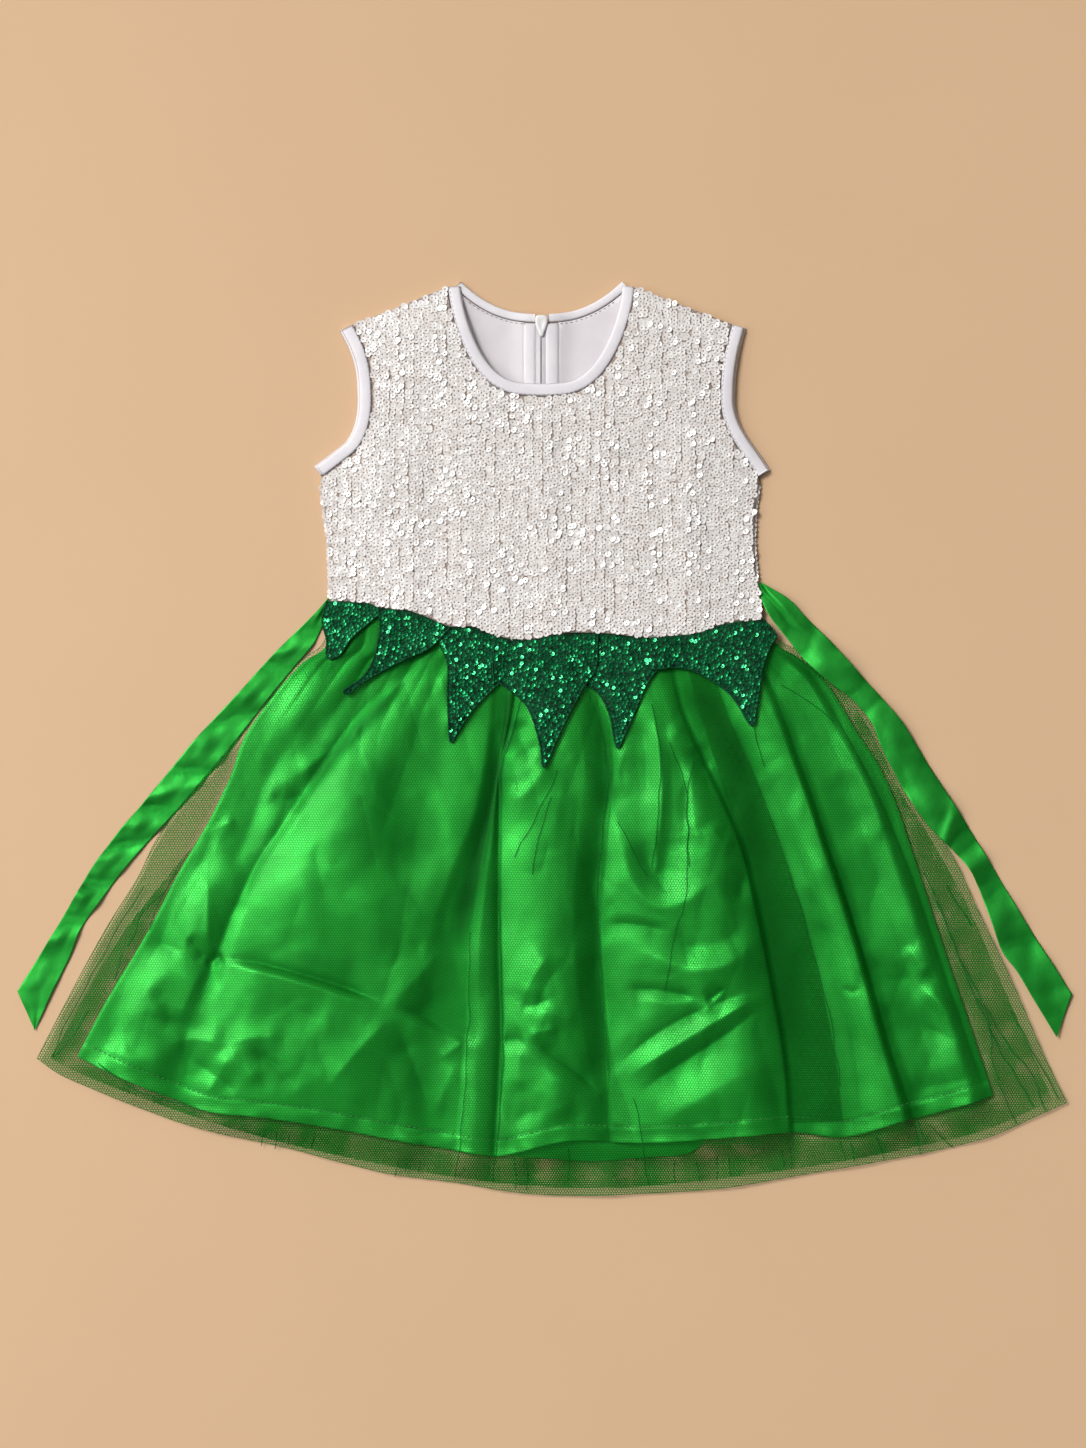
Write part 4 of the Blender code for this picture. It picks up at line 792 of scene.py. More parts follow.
def crumple_lift(x, y):
    """Faint straight creases that come and go, as in cloth that was folded and packed."""
    draw = np.random.default_rng(SEED + 90)
    total = np.zeros(x.shape)
    for i in range(CRUMPLES):
        angle = draw.uniform(0, 2 * math.pi)
        length = draw.uniform(34.0, 80.0)
        along = (x * math.cos(angle) + y * math.sin(angle)) / length + draw.uniform(0, 1)
        shown = smooth(waves(x, y, 80.0, 0.9, 100 + i) - 0.1)
        total += shown * (np.abs(np.sin(math.pi * along)) - 0.6)
    return CRUMPLE_HEIGHT * total


def satin_z(x, y):
    """The height of the satin's front: folds, creases, gathers and crumples together."""
    settle = smooth(side_gap(x, y) / SATIN_EDGE_SETTLE)
    relief = fold_lift(x, y) + crease_lift(x, y) + waves(x, y, 70.0, 0.3, 1)
    relief = relief + waves(x, y, 24.0, 0.05, 2) + gather_lift(x, y)
    relief = relief + crumple_lift(x, y)
    above = relief + SATIN_SINK
    relief = 0.5 * (above + np.sqrt(above ** 2 + 4.0)) - SATIN_SINK
    top = smooth((FOLD_TOP_Y + 14.0 - y) / 40.0)
    return SATIN_TOP_Z + settle * relief * (0.35 + 0.65 * top)


def tulle_z(x, y):
    """The net lies on the satin, and outside it drops to the surface in low waves."""
    inside, near_x, near_y = to_outline(x, y, SATIN_OUTLINE)
    over_x, over_y = np.where(inside > 0, x, near_x), np.where(inside > 0, y, near_y)
    over = satin_z(over_x, over_y) + LAYER_GAP
    low = TULLE_SIDE_TOP_Z - 1.0 + waves(x, y, 46.0, 0.45, 3) + 0.5
    drop = smooth((-inside - SIDE_RAMP_START) / SIDE_RAMP)
    return over + (low - over) * drop


# Bodice levels.
def side_x(y, side):
    """x of the left or right side seam at the heights y."""
    column = 1 if side == "left" else 2
    rows = np.array([(row[0], row[column]) for row in ARMHOLE_ROWS[-1:] + SIDE_SEAM_ROWS])
    rows = rows[np.argsort(rows[:, 0])]
    return np.interp(y, rows[:, 0], rows[:, 1])


def shoulder_y(x):
    run = (np.abs(x - CENTRE_X) - SHOULDER_NECK_OFFSET) / SHOULDER_RUN
    return NECK_TOP_Y - SHOULDER_DROP * np.maximum(run, 0.0) ** SHOULDER_CURVE


def front_z(x, y):
    """The upper face of the bodice's front."""
    half = np.maximum(side_x(y, "right") - CENTRE_X, CENTRE_X - side_x(y, "left"))
    across = np.minimum(np.abs(x - CENTRE_X) / half, 1.0)
    settle = smooth((shoulder_y(x) + 2.0 - y) / SHOULDER_SETTLE)
    return FRONT_EDGE_Z + FRONT_CROWN * (1.0 - across ** 3) * settle + FRONT_WALL


def front_relief(x, y):
    """The front with its soft vertical ripples."""
    ripple = 0.5 * np.sin(x * 2 * math.pi / 46.0 + 0.012 * y) + 0.3 * np.sin(x / 4.6 + 1.0)
    calm = smooth((NECK_TOP_Y - 60.0 - y) / 60.0)
    return front_z(x, y) - 0.5 + 0.6 * ripple * calm + waves(x, y, 60.0, 0.25, 5)


def zip_rise(x):
    """How far the zip lifts the back panels beside it."""
    return ZIP_RISE * (1.0 - smooth((np.abs(x - CENTRE_X) - ZIP_RISE_FLAT) / ZIP_RISE_SLOPE))


def back_neck_y(x):
    """The edge of the neck at the back, at the places x."""
    across = np.abs(x - CENTRE_X) / BACK_NECK_HALF_WIDTH
    return NECK_TOP_Y - BACK_NECK_DROP * np.maximum(1.0 - across ** BACK_NECK_CURVE, 0.0)


def neck_line():
    """The front neck edge of the sequinned cloth, from the left shoulder round to the right."""
    angle = math.pi * (np.arange(NECK_STATIONS + 1) / NECK_STATIONS - 0.5)
    across = np.sign(angle) * np.abs(np.sin(angle)) ** (2 / NECK_ROUNDNESS_ACROSS)
    down = np.abs(np.cos(angle)) ** (2 / NECK_ROUNDNESS_DOWN)
    return np.column_stack([CENTRE_X + NECK_HALF_WIDTH * across, NECK_TOP_Y - NECK_DEPTH * down])


def side_points(rows, side, outward):
    """The left or right points of rows (y, left x, right x), moved outward."""
    column = 1 if side == "left" else 2
    return [(row[column] + SIGN[side] * outward, row[0]) for row in rows]


def armhole_line(side, outward=0.0):
    return curved(side_points(ARMHOLE_ROWS, side, outward), 3)


def side_line(side, outward=0.0):
    return np.array(side_points(SIDE_SEAM_ROWS, side, outward))


def front_outline():
    return np.vstack([
        curved(neck_line(), 2), armhole_line("right"), side_line("right"),
        curved(WAIST_POINTS, 3)[::-1], side_line("left")[::-1], armhole_line("left")[::-1],
    ])


# Making meshes.
def make_piece(name, points, faces, material, slot, nodes=(), body="dress"):
    """A mesh in millimetres as a piece that rides on a body and stands for these CAD nodes."""
    mesh = bpy.data.meshes.new(name)
    if not isinstance(faces, list):
        faces = faces.tolist()
    mesh.from_pydata((np.asarray(points, float) * MM).tolist(), [], faces)
    mesh.materials.append(material)
    mesh.shade_smooth()
    obj = bpy.data.objects.new(name, mesh)
    bpy.context.scene.collection.objects.link(obj)
    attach(obj, body)
    if nodes:
        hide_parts(*nodes)
    return obj


def store(obj, name, values):
    """Keeps a value at each point, for the material to read by this name."""
    layer = obj.data.attributes.new(name, "FLOAT", "POINT")
    layer.data.foreach_set("value", np.asarray(values, np.float32).ravel())


def grid_faces(rows, columns):
    index = np.arange(rows * columns).reshape(rows, columns)
    return np.stack([index[:-1, :-1], index[1:, :-1], index[1:, 1:], index[:-1, 1:]],
                    axis=-1).reshape(-1, 4)


def filled(outline, spacing, seed=0):
    """Points and triangles that fill an outline, evenly and without long slivers."""
    outline = np.asarray(outline, float)
    low, high = outline.min(axis=0), outline.max(axis=0)
    draw = np.random.default_rng(SEED + seed)
    columns = np.arange(low[0], high[0], spacing)
    rows = np.arange(low[1], high[1], spacing * 0.87)
    x, y = np.meshgrid(columns, rows)
    x = x + np.where(np.arange(len(rows)) % 2, 0.5 * spacing, 0.0)[:, None]
    x = x + draw.uniform(-0.1, 0.1, x.shape) * spacing
    kept = edge_distance(x, y, outline) > 0.45 * spacing
    corners = [Vector(p) for p in outline] + [Vector(p) for p in zip(x[kept], y[kept])]
    edges = [(i, (i + 1) % len(outline)) for i in range(len(outline))]
    points, _, faces, _, _, _ = delaunay_2d_cdt(corners, edges, [], 1, 1e-4)
    flat = np.array([(p.x, p.y) for p in points])
    faces = np.array(faces)
    a, b, c = (flat[faces[:, i]] for i in range(3))
    turn = (b - a)[:, 0] * (c - a)[:, 1] - (b - a)[:, 1] * (c - a)[:, 0]
    faces[turn < 0] = faces[turn < 0][:, ::-1]
    return flat, faces


def shell(flat, faces, top, wall):
    """A closed thin shell: the filled outline raised to top, and again a wall below it."""
    upper = np.column_stack([flat, top])
    lower = np.column_stack([flat, top - wall])
    count = len(flat)
    sides = np.concatenate([faces[:, [0, 1]], faces[:, [1, 2]], faces[:, [2, 0]]])
    key = sides[:, 0] * count + sides[:, 1]
    back = sides[:, 1] * count + sides[:, 0]
    rim = sides[~np.isin(key, back)]
    walls = [(int(a), int(a + count), int(b + count), int(b)) for a, b in rim]
    return (np.vstack([upper, lower]),
            faces.tolist() + (faces[:, ::-1] + count).tolist() + walls)


def filled_piece(name, outline, spacing, seed, z_of, wall, material, slot, node):
    """A panel of cloth that fills an outline, at the heights that z_of gives."""
    flat, faces = filled(outline, spacing, seed)
    points, all_faces = shell(flat, faces, z_of(flat[:, 0], flat[:, 1]), wall)
    return make_piece(name, points, all_faces, material, slot, [node])


def declare(outline):
    """Makes an array of the outline and does nothing more with it."""
    outline = np.asarray(outline, float)


def tube_band(line, near, far, base, wall, crown, around=7):
    """A bias binding: a band beside a line with rounded edges, closed all round."""
    spots = np.linspace(0, 1, around)
    lines = [offset_line(line, near + (far - near) * spot) for spot in spots]
    top = np.stack(lines, axis=1)
    lift = crown * np.sin(np.pi * spots) ** 0.5
    upper_z = base(top[..., 0], top[..., 1]) + lift[None, :]
    edge_drop = np.where((spots == 0) | (spots == 1), 0.45 * wall, 0.0)
    upper_z = upper_z - edge_drop[None, :]
    lower_z = np.minimum(upper_z[:, ::-1] - 0.25 * wall, upper_z.max(axis=1)[:, None] - wall)
    upper = np.dstack([top, upper_z])
    lower = np.dstack([top[:, ::-1], lower_z])
    ring = np.concatenate([upper, lower[:, 1:-1]], axis=1)
    rows, count = ring.shape[:2]
    index = np.arange(rows * count).reshape(rows, count)
    after = np.roll(index, -1, axis=1)
    faces = np.stack([index[:-1], after[:-1], after[1:], index[1:]], axis=-1).reshape(-1, 4)
    if far > near:
        faces = faces[:, ::-1]
    caps = [index[0].tolist(), index[-1][::-1].tolist()]
    if far > near:
        caps = [cap[::-1] for cap in caps]
    return ring.reshape(-1, 3), faces.tolist() + caps


def loft(sections):
    """A closed form through rings of equal length, capped at both ends."""
    rings = np.array(sections, float)
    rows, count = rings.shape[:2]
    index = np.arange(rows * count).reshape(rows, count)
    after = np.roll(index, -1, axis=1)
    faces = np.stack([index[:-1], after[:-1], after[1:], index[1:]], axis=-1).reshape(-1, 4)
    caps = [index[0][::-1].tolist(), index[-1].tolist()]
    return rings.reshape(-1, 3), faces.tolist() + caps


def round_rings(line, across, over, radius, sides):
    """A ring around each point of a line, in the plane of two directions there."""
    angle = np.arange(sides) * 2 * math.pi / sides
    return line[:, None] + radius * (np.cos(angle)[None, :, None] * across[:, None]
                                     + np.sin(angle)[None, :, None] * over[:, None])


def rod_along(line, radius, sides):
    """A closed thin round rod along a 3D line."""
    line = np.asarray(line, float)
    ahead = np.gradient(line, axis=0)
    ahead /= np.linalg.norm(ahead, axis=1)[:, None]
    across = np.cross(ahead, (0.0, 0.0, 1.0))
    across /= np.maximum(np.linalg.norm(across, axis=1), 1e-6)[:, None]
    over = np.cross(across, ahead)
    points, faces = loft(round_rings(line, across, over, radius, sides))
    return points, [face[::-1] for face in faces]


def straight_rod(start, end, across, over, radius, sides=10):
    """A round rod between two points, whose ends lie in the plane of two directions."""
    line = np.array([start, end])
    return loft(round_rings(line, np.array([across] * 2), np.array([over] * 2), radius, sides))


def ring_rod(path, radius, sides=8):
    """A round rod along a closed loop that lies in the plane across x."""
    path = path[:-1]
    ahead = np.roll(path, -1, axis=0) - np.roll(path, 1, axis=0)
    ahead /= np.linalg.norm(ahead, axis=1)[:, None]
    across = np.tile((1.0, 0.0, 0.0), (len(path), 1))
    rings = round_rings(path, across, np.cross(ahead, across), radius, sides)
    index = np.arange(len(path) * sides).reshape(len(path), sides)
    after = np.roll(index, -1, axis=1)
    down = np.roll(index, -1, axis=0)
    both = np.roll(after, -1, axis=0)
    faces = np.stack([index, down, both, after], axis=-1).reshape(-1, 4)
    return rings.reshape(-1, 3), faces


def joined(parts):
    """Several (points, faces) as one."""
    points, faces, start = [], [], 0
    for part_points, part_faces in parts:
        points.append(np.asarray(part_points, float))
        if not isinstance(part_faces, list):
            part_faces = part_faces.tolist()
        faces += [[i + start for i in face] for face in part_faces]
        start += len(part_points)
    return np.vstack(points), faces


def stitches(line, thread, z_of):
    """Short thread stitches along a line, each a thin rod that dips at its ends."""
    steps = 6
    count = max(int(line_length(line) / thread.pitch), 2)
    fine = even_points(line, count * steps)
    share = np.linspace(0, thread.length / thread.pitch, 4)[:, None]
    dip = thread.radius * np.array([-0.6, 0.9, 0.9, -0.6])
    parts = []
    for start in range(0, (count - 1) * steps, steps):
        first, last = fine[start], fine[start + steps - 1]
        run = first + (last - first) * share
        height = z_of(run[:, 0], run[:, 1]) + dip
        parts.append(rod_along(np.column_stack([run, height]), thread.radius, 4))
    return joined(parts)


# Materials.
class Nodes:
    """A small helper to write a material's nodes in a few lines."""

    def __init__(self, name):
        self.material = bpy.data.materials.new(name)
        self.material.use_nodes = True
        self.tree = self.material.node_tree
        self.shader = self.tree.nodes["Principled BSDF"]

    def add(self, kind, inputs=None, **settings):
        node = self.tree.nodes.new(kind)
        for key, value in settings.items():
            setattr(node, key, value)
        for key, value in (inputs or {}).items():
            self.set(node.inputs[key], value)
        return node

    def set(self, socket, value):
        if isinstance(value, bpy.types.NodeSocket):
            self.tree.links.new(value, socket)
        else:
            socket.default_value = value

    def math(self, operation, first, second=0.0):
        return self.add("ShaderNodeMath", {0: first, 1: second}, operation=operation).outputs[0]

    def vector(self, operation, first, second=(0, 0, 0), third=None):
        inputs = {0: first, 1: second}
        if third is not None:
            inputs[2] = third
        return self.add("ShaderNodeVectorMath", inputs, operation=operation)

    def place(self, scale):
        """The piece's own coordinates in metres, scaled."""
        coordinates = self.add("ShaderNodeTexCoord").outputs["Object"]
        return self.vector("MULTIPLY", coordinates, scale).outputs[0]

    def noise(self, scale, detail=2.0, stretch=(1, 1, 1)):
        vector = self.place(tuple(scale * s for s in stretch))
        node = self.add("ShaderNodeTexNoise", {"Vector": vector, "Scale": 1.0, "Detail": detail})
        return node.outputs["Fac"]

    def range(self, value, low, high, to_low=0.0, to_high=1.0):
        node = self.add("ShaderNodeMapRange", {"Value": value, "From Min": low, "From Max": high,
                                               "To Min": to_low, "To Max": to_high},
                        interpolation_type="SMOOTHSTEP")
        return node.outputs["Result"]

    def attribute(self, name):
        return self.add("ShaderNodeAttribute", attribute_name=name).outputs["Fac"]

    def mix(self, share, first, second):
        node = self.add("ShaderNodeMix", data_type="RGBA")
        self.set(node.inputs["Factor"], share)
        colours = [i for i in node.inputs if i.type == "RGBA"]
        self.set(colours[0], first)
        self.set(colours[1], second)
        return [o for o in node.outputs if o.type == "RGBA"][0]

    def bump(self, height, strength, distance, normal=None):
        inputs = {"Height": height, "Strength": strength, "Distance": distance}
        if normal is not None:
            inputs["Normal"] = normal
        return self.add("ShaderNodeBump", inputs).outputs["Normal"]

    def finish(self, **sockets):
        """Sets the shader's sockets, whose names are written with underscores for spaces."""
        for key, value in sockets.items():
            self.set(self.shader.inputs[key.replace("_", " ")], value)
        return self.material


def rgb(red, green, blue):
    return (red, green, blue, 1.0)


def weave(nodes, threads, strength, distance, normal=None):
    """A plain weave: crossing threads as bump, this many to a metre."""
    place = nodes.place((threads, threads, threads))
    parts = nodes.add("ShaderNodeSeparateXYZ", {0: place}).outputs
    warp = nodes.math("SINE", nodes.math("MULTIPLY", parts[0], 2 * math.pi))
    weft = nodes.math("SINE", nodes.math("MULTIPLY", parts[1], 2 * math.pi))
    return nodes.bump(nodes.math("MULTIPLY", warp, weft), strength, distance, normal)


def darker(colour, share):
    return tuple(c * share for c in colour[:3]) + (1,)


def satin_material(name, base, shade_and_grain_colour):
    """Glossy satin: fine grain and uneven sheen, with painted shade that darkens it between folds.
    """
    nodes = Nodes(name)
    grain = nodes.noise(2600.0, 2.0, (1.0, 0.45, 1.0))
    cloud = nodes.noise(34.0, 3.0)
    painted_shade = nodes.attribute("painted_shade")
    tone = nodes.mix(nodes.range(cloud, 0.3, 0.7), base, darker(base, 0.86))
    tone = nodes.mix(nodes.math("MULTIPLY", grain, 0.16), tone, shade_and_grain_colour)
    # Painted shade: the colour goes towards the dark one as far as the shade attribute says.
    tone = nodes.mix(painted_shade, tone, shade_and_grain_colour)
    normal = nodes.bump(nodes.noise(150.0, 3.0), 0.22, 0.0012)
    normal = nodes.bump(grain, 0.1, 0.0003, normal)
    roughness = nodes.range(cloud, 0.2, 0.8, 0.48, 0.56)
    # Less coat where the shade is painted.
    gloss = nodes.range(painted_shade, 0.0, 0.5, 0.4, 0.0)
    return nodes.finish(
        Base_Color=tone, Roughness=roughness, Metallic=0.72, Normal=normal,
        Specular_Tint=rgb(0.6, 1.0, 0.65), Coat_Weight=gloss, Coat_Roughness=0.42)


def net_material(name, colour, cell, thread, gathered=0.0):
    """Six-sided net: threads show and the gaps between them are clear.

    gathered is how much wider the threads are where the piece's "gathered" value is 1.
    """
    nodes = Nodes(name)
    root = math.sqrt(3.0)
    place = nodes.place((1000.0 / cell, 1000.0 / cell, 0.0))
    wander = nodes.noise(300.0, 1.0)
    wander = nodes.math("MULTIPLY", nodes.math("SUBTRACT", wander, 0.5), 0.35)
    place = nodes.vector("ADD", place, nodes.add("ShaderNodeCombineXYZ",
                                                  {0: wander, 1: wander}).outputs[0]).outputs[0]
    period = (1.0, root, 1.0)
    half = (0.5, 0.5 * root, 0.0)
    first = nodes.vector("SUBTRACT", nodes.vector("WRAP", place, period, (0, 0, 0)).outputs[0],
                         half).outputs[0]
    moved = nodes.vector("SUBTRACT", place, half).outputs[0]
    second = nodes.vector("SUBTRACT", nodes.vector("WRAP", moved, period, (0, 0, 0)).outputs[0],
                          half).outputs[0]
    flat = (1.0, 1.0, 0.0)
    first = nodes.vector("MULTIPLY", first, flat).outputs[0]
    second = nodes.vector("MULTIPLY", second, flat).outputs[0]
    distances = []
    for spot in (first, second):
        size = nodes.vector("ABSOLUTE", spot).outputs[0]
        tilted = nodes.vector("DOT_PRODUCT", size, half).outputs["Value"]
        straight = nodes.add("ShaderNodeSeparateXYZ", {0: size}).outputs[0]
        distances.append(nodes.math("MAXIMUM", tilted, straight))
    edge = nodes.math("MINIMUM", *distances)
    if gathered:
        edge = nodes.math("ADD", edge,
                          nodes.math("MULTIPLY", nodes.attribute("gathered"), gathered))
    alpha = nodes.range(edge, thread - 0.03, thread + 0.03)
    tone = nodes.mix(nodes.noise(120.0, 2.0), colour, darker(colour, 0.7))
    return nodes.finish(Base_Color=tone, Alpha=alpha, Roughness=0.7, Specular_IOR_Level=0.12)


def plain_cloth(name, base, shade, threads, roughness=0.85):
    """A matt woven cloth with a fine weave and a little cloudiness."""
    nodes = Nodes(name)
    cloud = nodes.noise(60.0, 3.0)
    tone = nodes.mix(nodes.range(cloud, 0.3, 0.7), base, shade)
    normal = nodes.bump(nodes.noise(90.0, 2.0), 0.25, 0.001)
    normal = weave(nodes, threads, 0.35, 0.0003, normal)
    return nodes.finish(Base_Color=tone, Roughness=roughness, Normal=normal, Sheen_Weight=0.2)


def knit_material(name, base, dark):
    """The knit that sequins are sewn on: small loops with dark gaps."""
    nodes = Nodes(name)
    cells = nodes.add("ShaderNodeTexVoronoi",
                      {"Vector": nodes.place((620.0, 620.0, 620.0)), "Scale": 1.0})
    loops = nodes.range(cells.outputs["Distance"], 0.2, 0.75)
    tone = nodes.mix(loops, base, dark)
    normal = nodes.bump(cells.outputs["Distance"], 0.6, 0.0005)
    return nodes.finish(Base_Color=tone, Roughness=0.8, Normal=normal, Specular_IOR_Level=0.15)


def sequin_material(name, dull, bright_and_glint_colour, roughness, metallic, coat):
    """Pressed sequins: each has its own tone, from dull to bright, kept in its points. Glinting
    sequins get a painted highlight as their tone.
    """
    nodes = Nodes(name)
    tone = nodes.mix(nodes.attribute("tone"), dull, bright_and_glint_colour)
    speck = nodes.noise(900.0, 2.0)
    tone = nodes.mix(nodes.math("MULTIPLY", speck, 0.25), tone, dull)
    normal = nodes.bump(nodes.noise(700.0, 1.0), 0.12, 0.0003)
    return nodes.finish(
        Base_Color=tone, Roughness=roughness, Metallic=metallic, Normal=normal,
        Coat_Weight=coat, Coat_Roughness=0.15, Specular_IOR_Level=0.3 + 0.5 * coat)


def nylon_material():
    nodes = Nodes("white_nylon")
    tone = nodes.mix(nodes.noise(900.0), rgb(0.78, 0.77, 0.79), rgb(0.66, 0.65, 0.68))
    return nodes.finish(Base_Color=tone, Roughness=0.35, Coat_Weight=0.2)


def enamel_material():
    nodes = Nodes("white_enamel")
    tone = nodes.mix(nodes.noise(300.0), rgb(0.86, 0.85, 0.86), rgb(0.80, 0.79, 0.80))
    normal = nodes.bump(nodes.noise(500.0), 0.05, 0.0002)
    return nodes.finish(Base_Color=tone, Roughness=0.22, Coat_Weight=0.4, Normal=normal)


def make_materials():
    return SimpleNamespace(
        # The satin's dark colour is its painted shade, and also its darkest grain.
        satin=satin_material("green_satin_cloth", rgb(0.022, 0.56, 0.050), rgb(0.0, 0.065, 0.006)),
        net=net_material("green_net_front", rgb(0.002, 0.215, 0.012), 1.7, 0.43, 0.075),
        net_back=net_material("green_net_back", rgb(0.002, 0.165, 0.008), 1.6, 0.38, 0.11),
        net_dense=net_material("green_net_doubled", rgb(0.001, 0.15, 0.008), 1.3, 0.36),
        net_crease=Nodes("green_net_crease").finish(
            Base_Color=rgb(0.001, 0.15, 0.015), Alpha=0.65, Roughness=0.7, Specular_IOR_Level=0.12),
        white_knit=knit_material("white_knit", rgb(0.62, 0.54, 0.49), rgb(0.32, 0.25, 0.205)),
        # The bright colour of the sequins is also the painted highlight of the glinting ones.
        white_sequins=sequin_material("white_sequins", rgb(0.71, 0.645, 0.61),
                                      rgb(0.99, 0.98, 0.97), 0.3, 0.08, 0.4),
        green_knit=knit_material("green_knit", rgb(0.004, 0.075, 0.028), rgb(0.001, 0.02, 0.008)),
        # Here too the bright colour is the painted highlight of glinting sequins.
        green_sequins=sequin_material("green_sequins", rgb(0.001, 0.115, 0.035),
                                      rgb(0.07, 0.66, 0.24), 0.34, 0.96, 0.0),
        binding=plain_cloth("white_bias_cloth", rgb(0.88, 0.85, 0.885), rgb(0.82, 0.79, 0.83), 1500),
        lining=plain_cloth("white_lining_cloth", rgb(0.82, 0.78, 0.81), rgb(0.77, 0.73, 0.765),
                           1800),
        flap=plain_cloth("white_seam_cloth", rgb(0.87, 0.84, 0.87), rgb(0.82, 0.79, 0.83), 1800),
        tape=plain_cloth("white_tape_cloth", rgb(0.74, 0.71, 0.74), rgb(0.66, 0.63, 0.67), 1100),
        thread=plain_cloth("white_thread", rgb(0.62, 0.58, 0.62), rgb(0.55, 0.5, 0.55), 4000),
        brown_thread=plain_cloth("brown_thread", rgb(0.33, 0.25, 0.22), rgb(0.27, 0.20, 0.18), 4000),
        green_thread=plain_cloth("green_thread", rgb(0.03, 0.34, 0.06), rgb(0.02, 0.26, 0.04),
                                 4000, 0.6),
        rolled_edge=knit_material("green_rolled_edge", rgb(0.003, 0.09, 0.03),
                                  rgb(0.001, 0.035, 0.012)),
        nylon=nylon_material(),
        enamel=enamel_material(),
    )


# The skirt.
SATIN_SPLIT = 0.425
SIDE_EDGE_DIP = 0.4
SIDE_EDGE_REACH = 3.0
HEM_DEPTH = 10.0
# How the hem turns under: each row's step beyond the edge and its height.
HEM_TURN = ((0.15, -0.35), (-1.5, -0.75), (-5.0, -0.85), (-9.0, -0.8))


def box_blur(values, reach_rows, reach_columns):
    """Mean over a window on a grid, the same on each side of a point."""
    for axis, reach in ((0, reach_rows), (1, reach_columns)):
        pad = [(0, 0), (0, 0)]
        pad[axis] = (reach + 1, reach)
        sums = np.cumsum(np.pad(values, pad, mode="edge"), axis=axis)
        width = 2 * reach + 1
        high = np.take(sums, range(width, sums.shape[axis]), axis=axis)
        low = np.take(sums, range(0, sums.shape[axis] - width), axis=axis)
        values = (high - low) / width
    return values


def painted_hollow_shade(z, reach, depth):
    """Painted shade: 0 on open cloth and 1 far down between folds, from the mean height this many
    points around.
    """
    wide = box_blur(z, reach, reach + 1) - z
    return np.clip(wide / depth, 0.0, 1.0) ** 1.1


def shade_of_gaps(x, y):
    """Painted shade in the gaps beside the folds, 0 to 1."""
    total = np.zeros(x.shape)
    for shade in SHADES:
        line = drawn(shade.points, 4)
        reach = 2.5 * max(shade.reach_left, shade.reach_right)
        distance, share = beside_line(x, y, line, reach)
        width = np.where(distance > 0, shade.reach_left, shade.reach_right)
        ends = smooth(share / CREASE_TAPER) * smooth((1 - share) / CREASE_TAPER)
        dark = shade.depth * ends * np.exp(-(np.minimum(np.abs(distance), 1e3) / width) ** 2)
        total = np.maximum(total, dark)
    return total


def hem_gap(x, y, hem):
    """Distance from a hem, and a large one far from it."""
    gap, _ = beside_line(x, y, hem, 30.0)
    return np.where(np.isfinite(gap), np.abs(gap), 99.0)


def hem_pucker(x, y, gap):
    """The turned hem: thicker below its stitching, with small uneven puckers."""
    below = smooth((HEM_DEPTH + 1.0 - gap) / 2.0)
    stitch = np.exp(-((gap - HEM_DEPTH) / 1.1) ** 2)
    return 0.25 * below - 0.25 * stitch + waves(x, y, 15.0, 0.22, 8) * below


def add_satin(material):
    """The satin's front in two pieces that share their normals where they meet."""
    x, y = fan_grid(SATIN_EDGES, SATIN_COLUMNS, SATIN_ROWS)
    z = satin_z(x, y)
    z = z + hem_pucker(x, y, hem_gap(x, y, SATIN_EDGES[2]))
    z = z - SIDE_EDGE_DIP * (1.0 - smooth(side_gap(x, y) / SIDE_EDGE_REACH)) ** 2
    # Painted shade: darker in the hollows between folds, towards the waist and in the gaps listed in
    # SHADES.
    painted_shade = np.maximum(SHADE_OF_DEPTH * painted_hollow_shade(z, reach=11, depth=1.9),
                        SHADE_OF_BREADTH * painted_hollow_shade(z, reach=34, depth=5.0))
    painted_shade = np.maximum(painted_shade, WAIST_SHADE * smooth((y - WAIST_SHADE_Y) / WAIST_SHADE_REACH))
    painted_shade = np.maximum(painted_shade, shade_of_gaps(x, y))
    down = np.array([x[-1] - x[-2], y[-1] - y[-2]])
    down = down / np.hypot(*down)
    extra_x = [x[-1] + down[0] * out for out, _ in HEM_TURN]
    extra_y = [y[-1] + down[1] * out for out, _ in HEM_TURN]
    extra_z = [z[-1] + drop for _, drop in HEM_TURN]
    x, y, z = (np.vstack([values, *extra]) for values, extra in
               ((x, extra_x), (y, extra_y), (z, extra_z)))
    z[-2:] = np.minimum(z[-2:], z[-7] - 0.75)
    painted_shade = np.vstack([painted_shade, *[painted_shade[-1]] * len(HEM_TURN)])
    points = np.dstack([x, y, z])
    normals = np.cross(np.gradient(points, axis=0), np.gradient(points, axis=1))
    normals /= np.linalg.norm(normals, axis=2)[..., None]
    split = int(SATIN_SPLIT * SATIN_COLUMNS)
    for name, columns in (("left", slice(0, split + 1)), ("right", slice(split, None))):
        part = points[:, columns]
        obj = make_piece(f"skirt_front_satin_{name}", part.reshape(-1, 3),
                         grid_faces(*part.shape[:2]), material, "green_satin", ["skirt_front"])
        obj.data.normals_split_custom_set_from_vertices(
            normals[:, columns].reshape(-1, 3).tolist())
        store(obj, "painted_shade", painted_shade[:, columns])
        rim = part[:SATIN_ROWS, :, :2]
        outline = np.vstack([rim[::4, 0], rim[-1, ::4], rim[::-4, -1], rim[0, ::-4]])
        declare(outline)


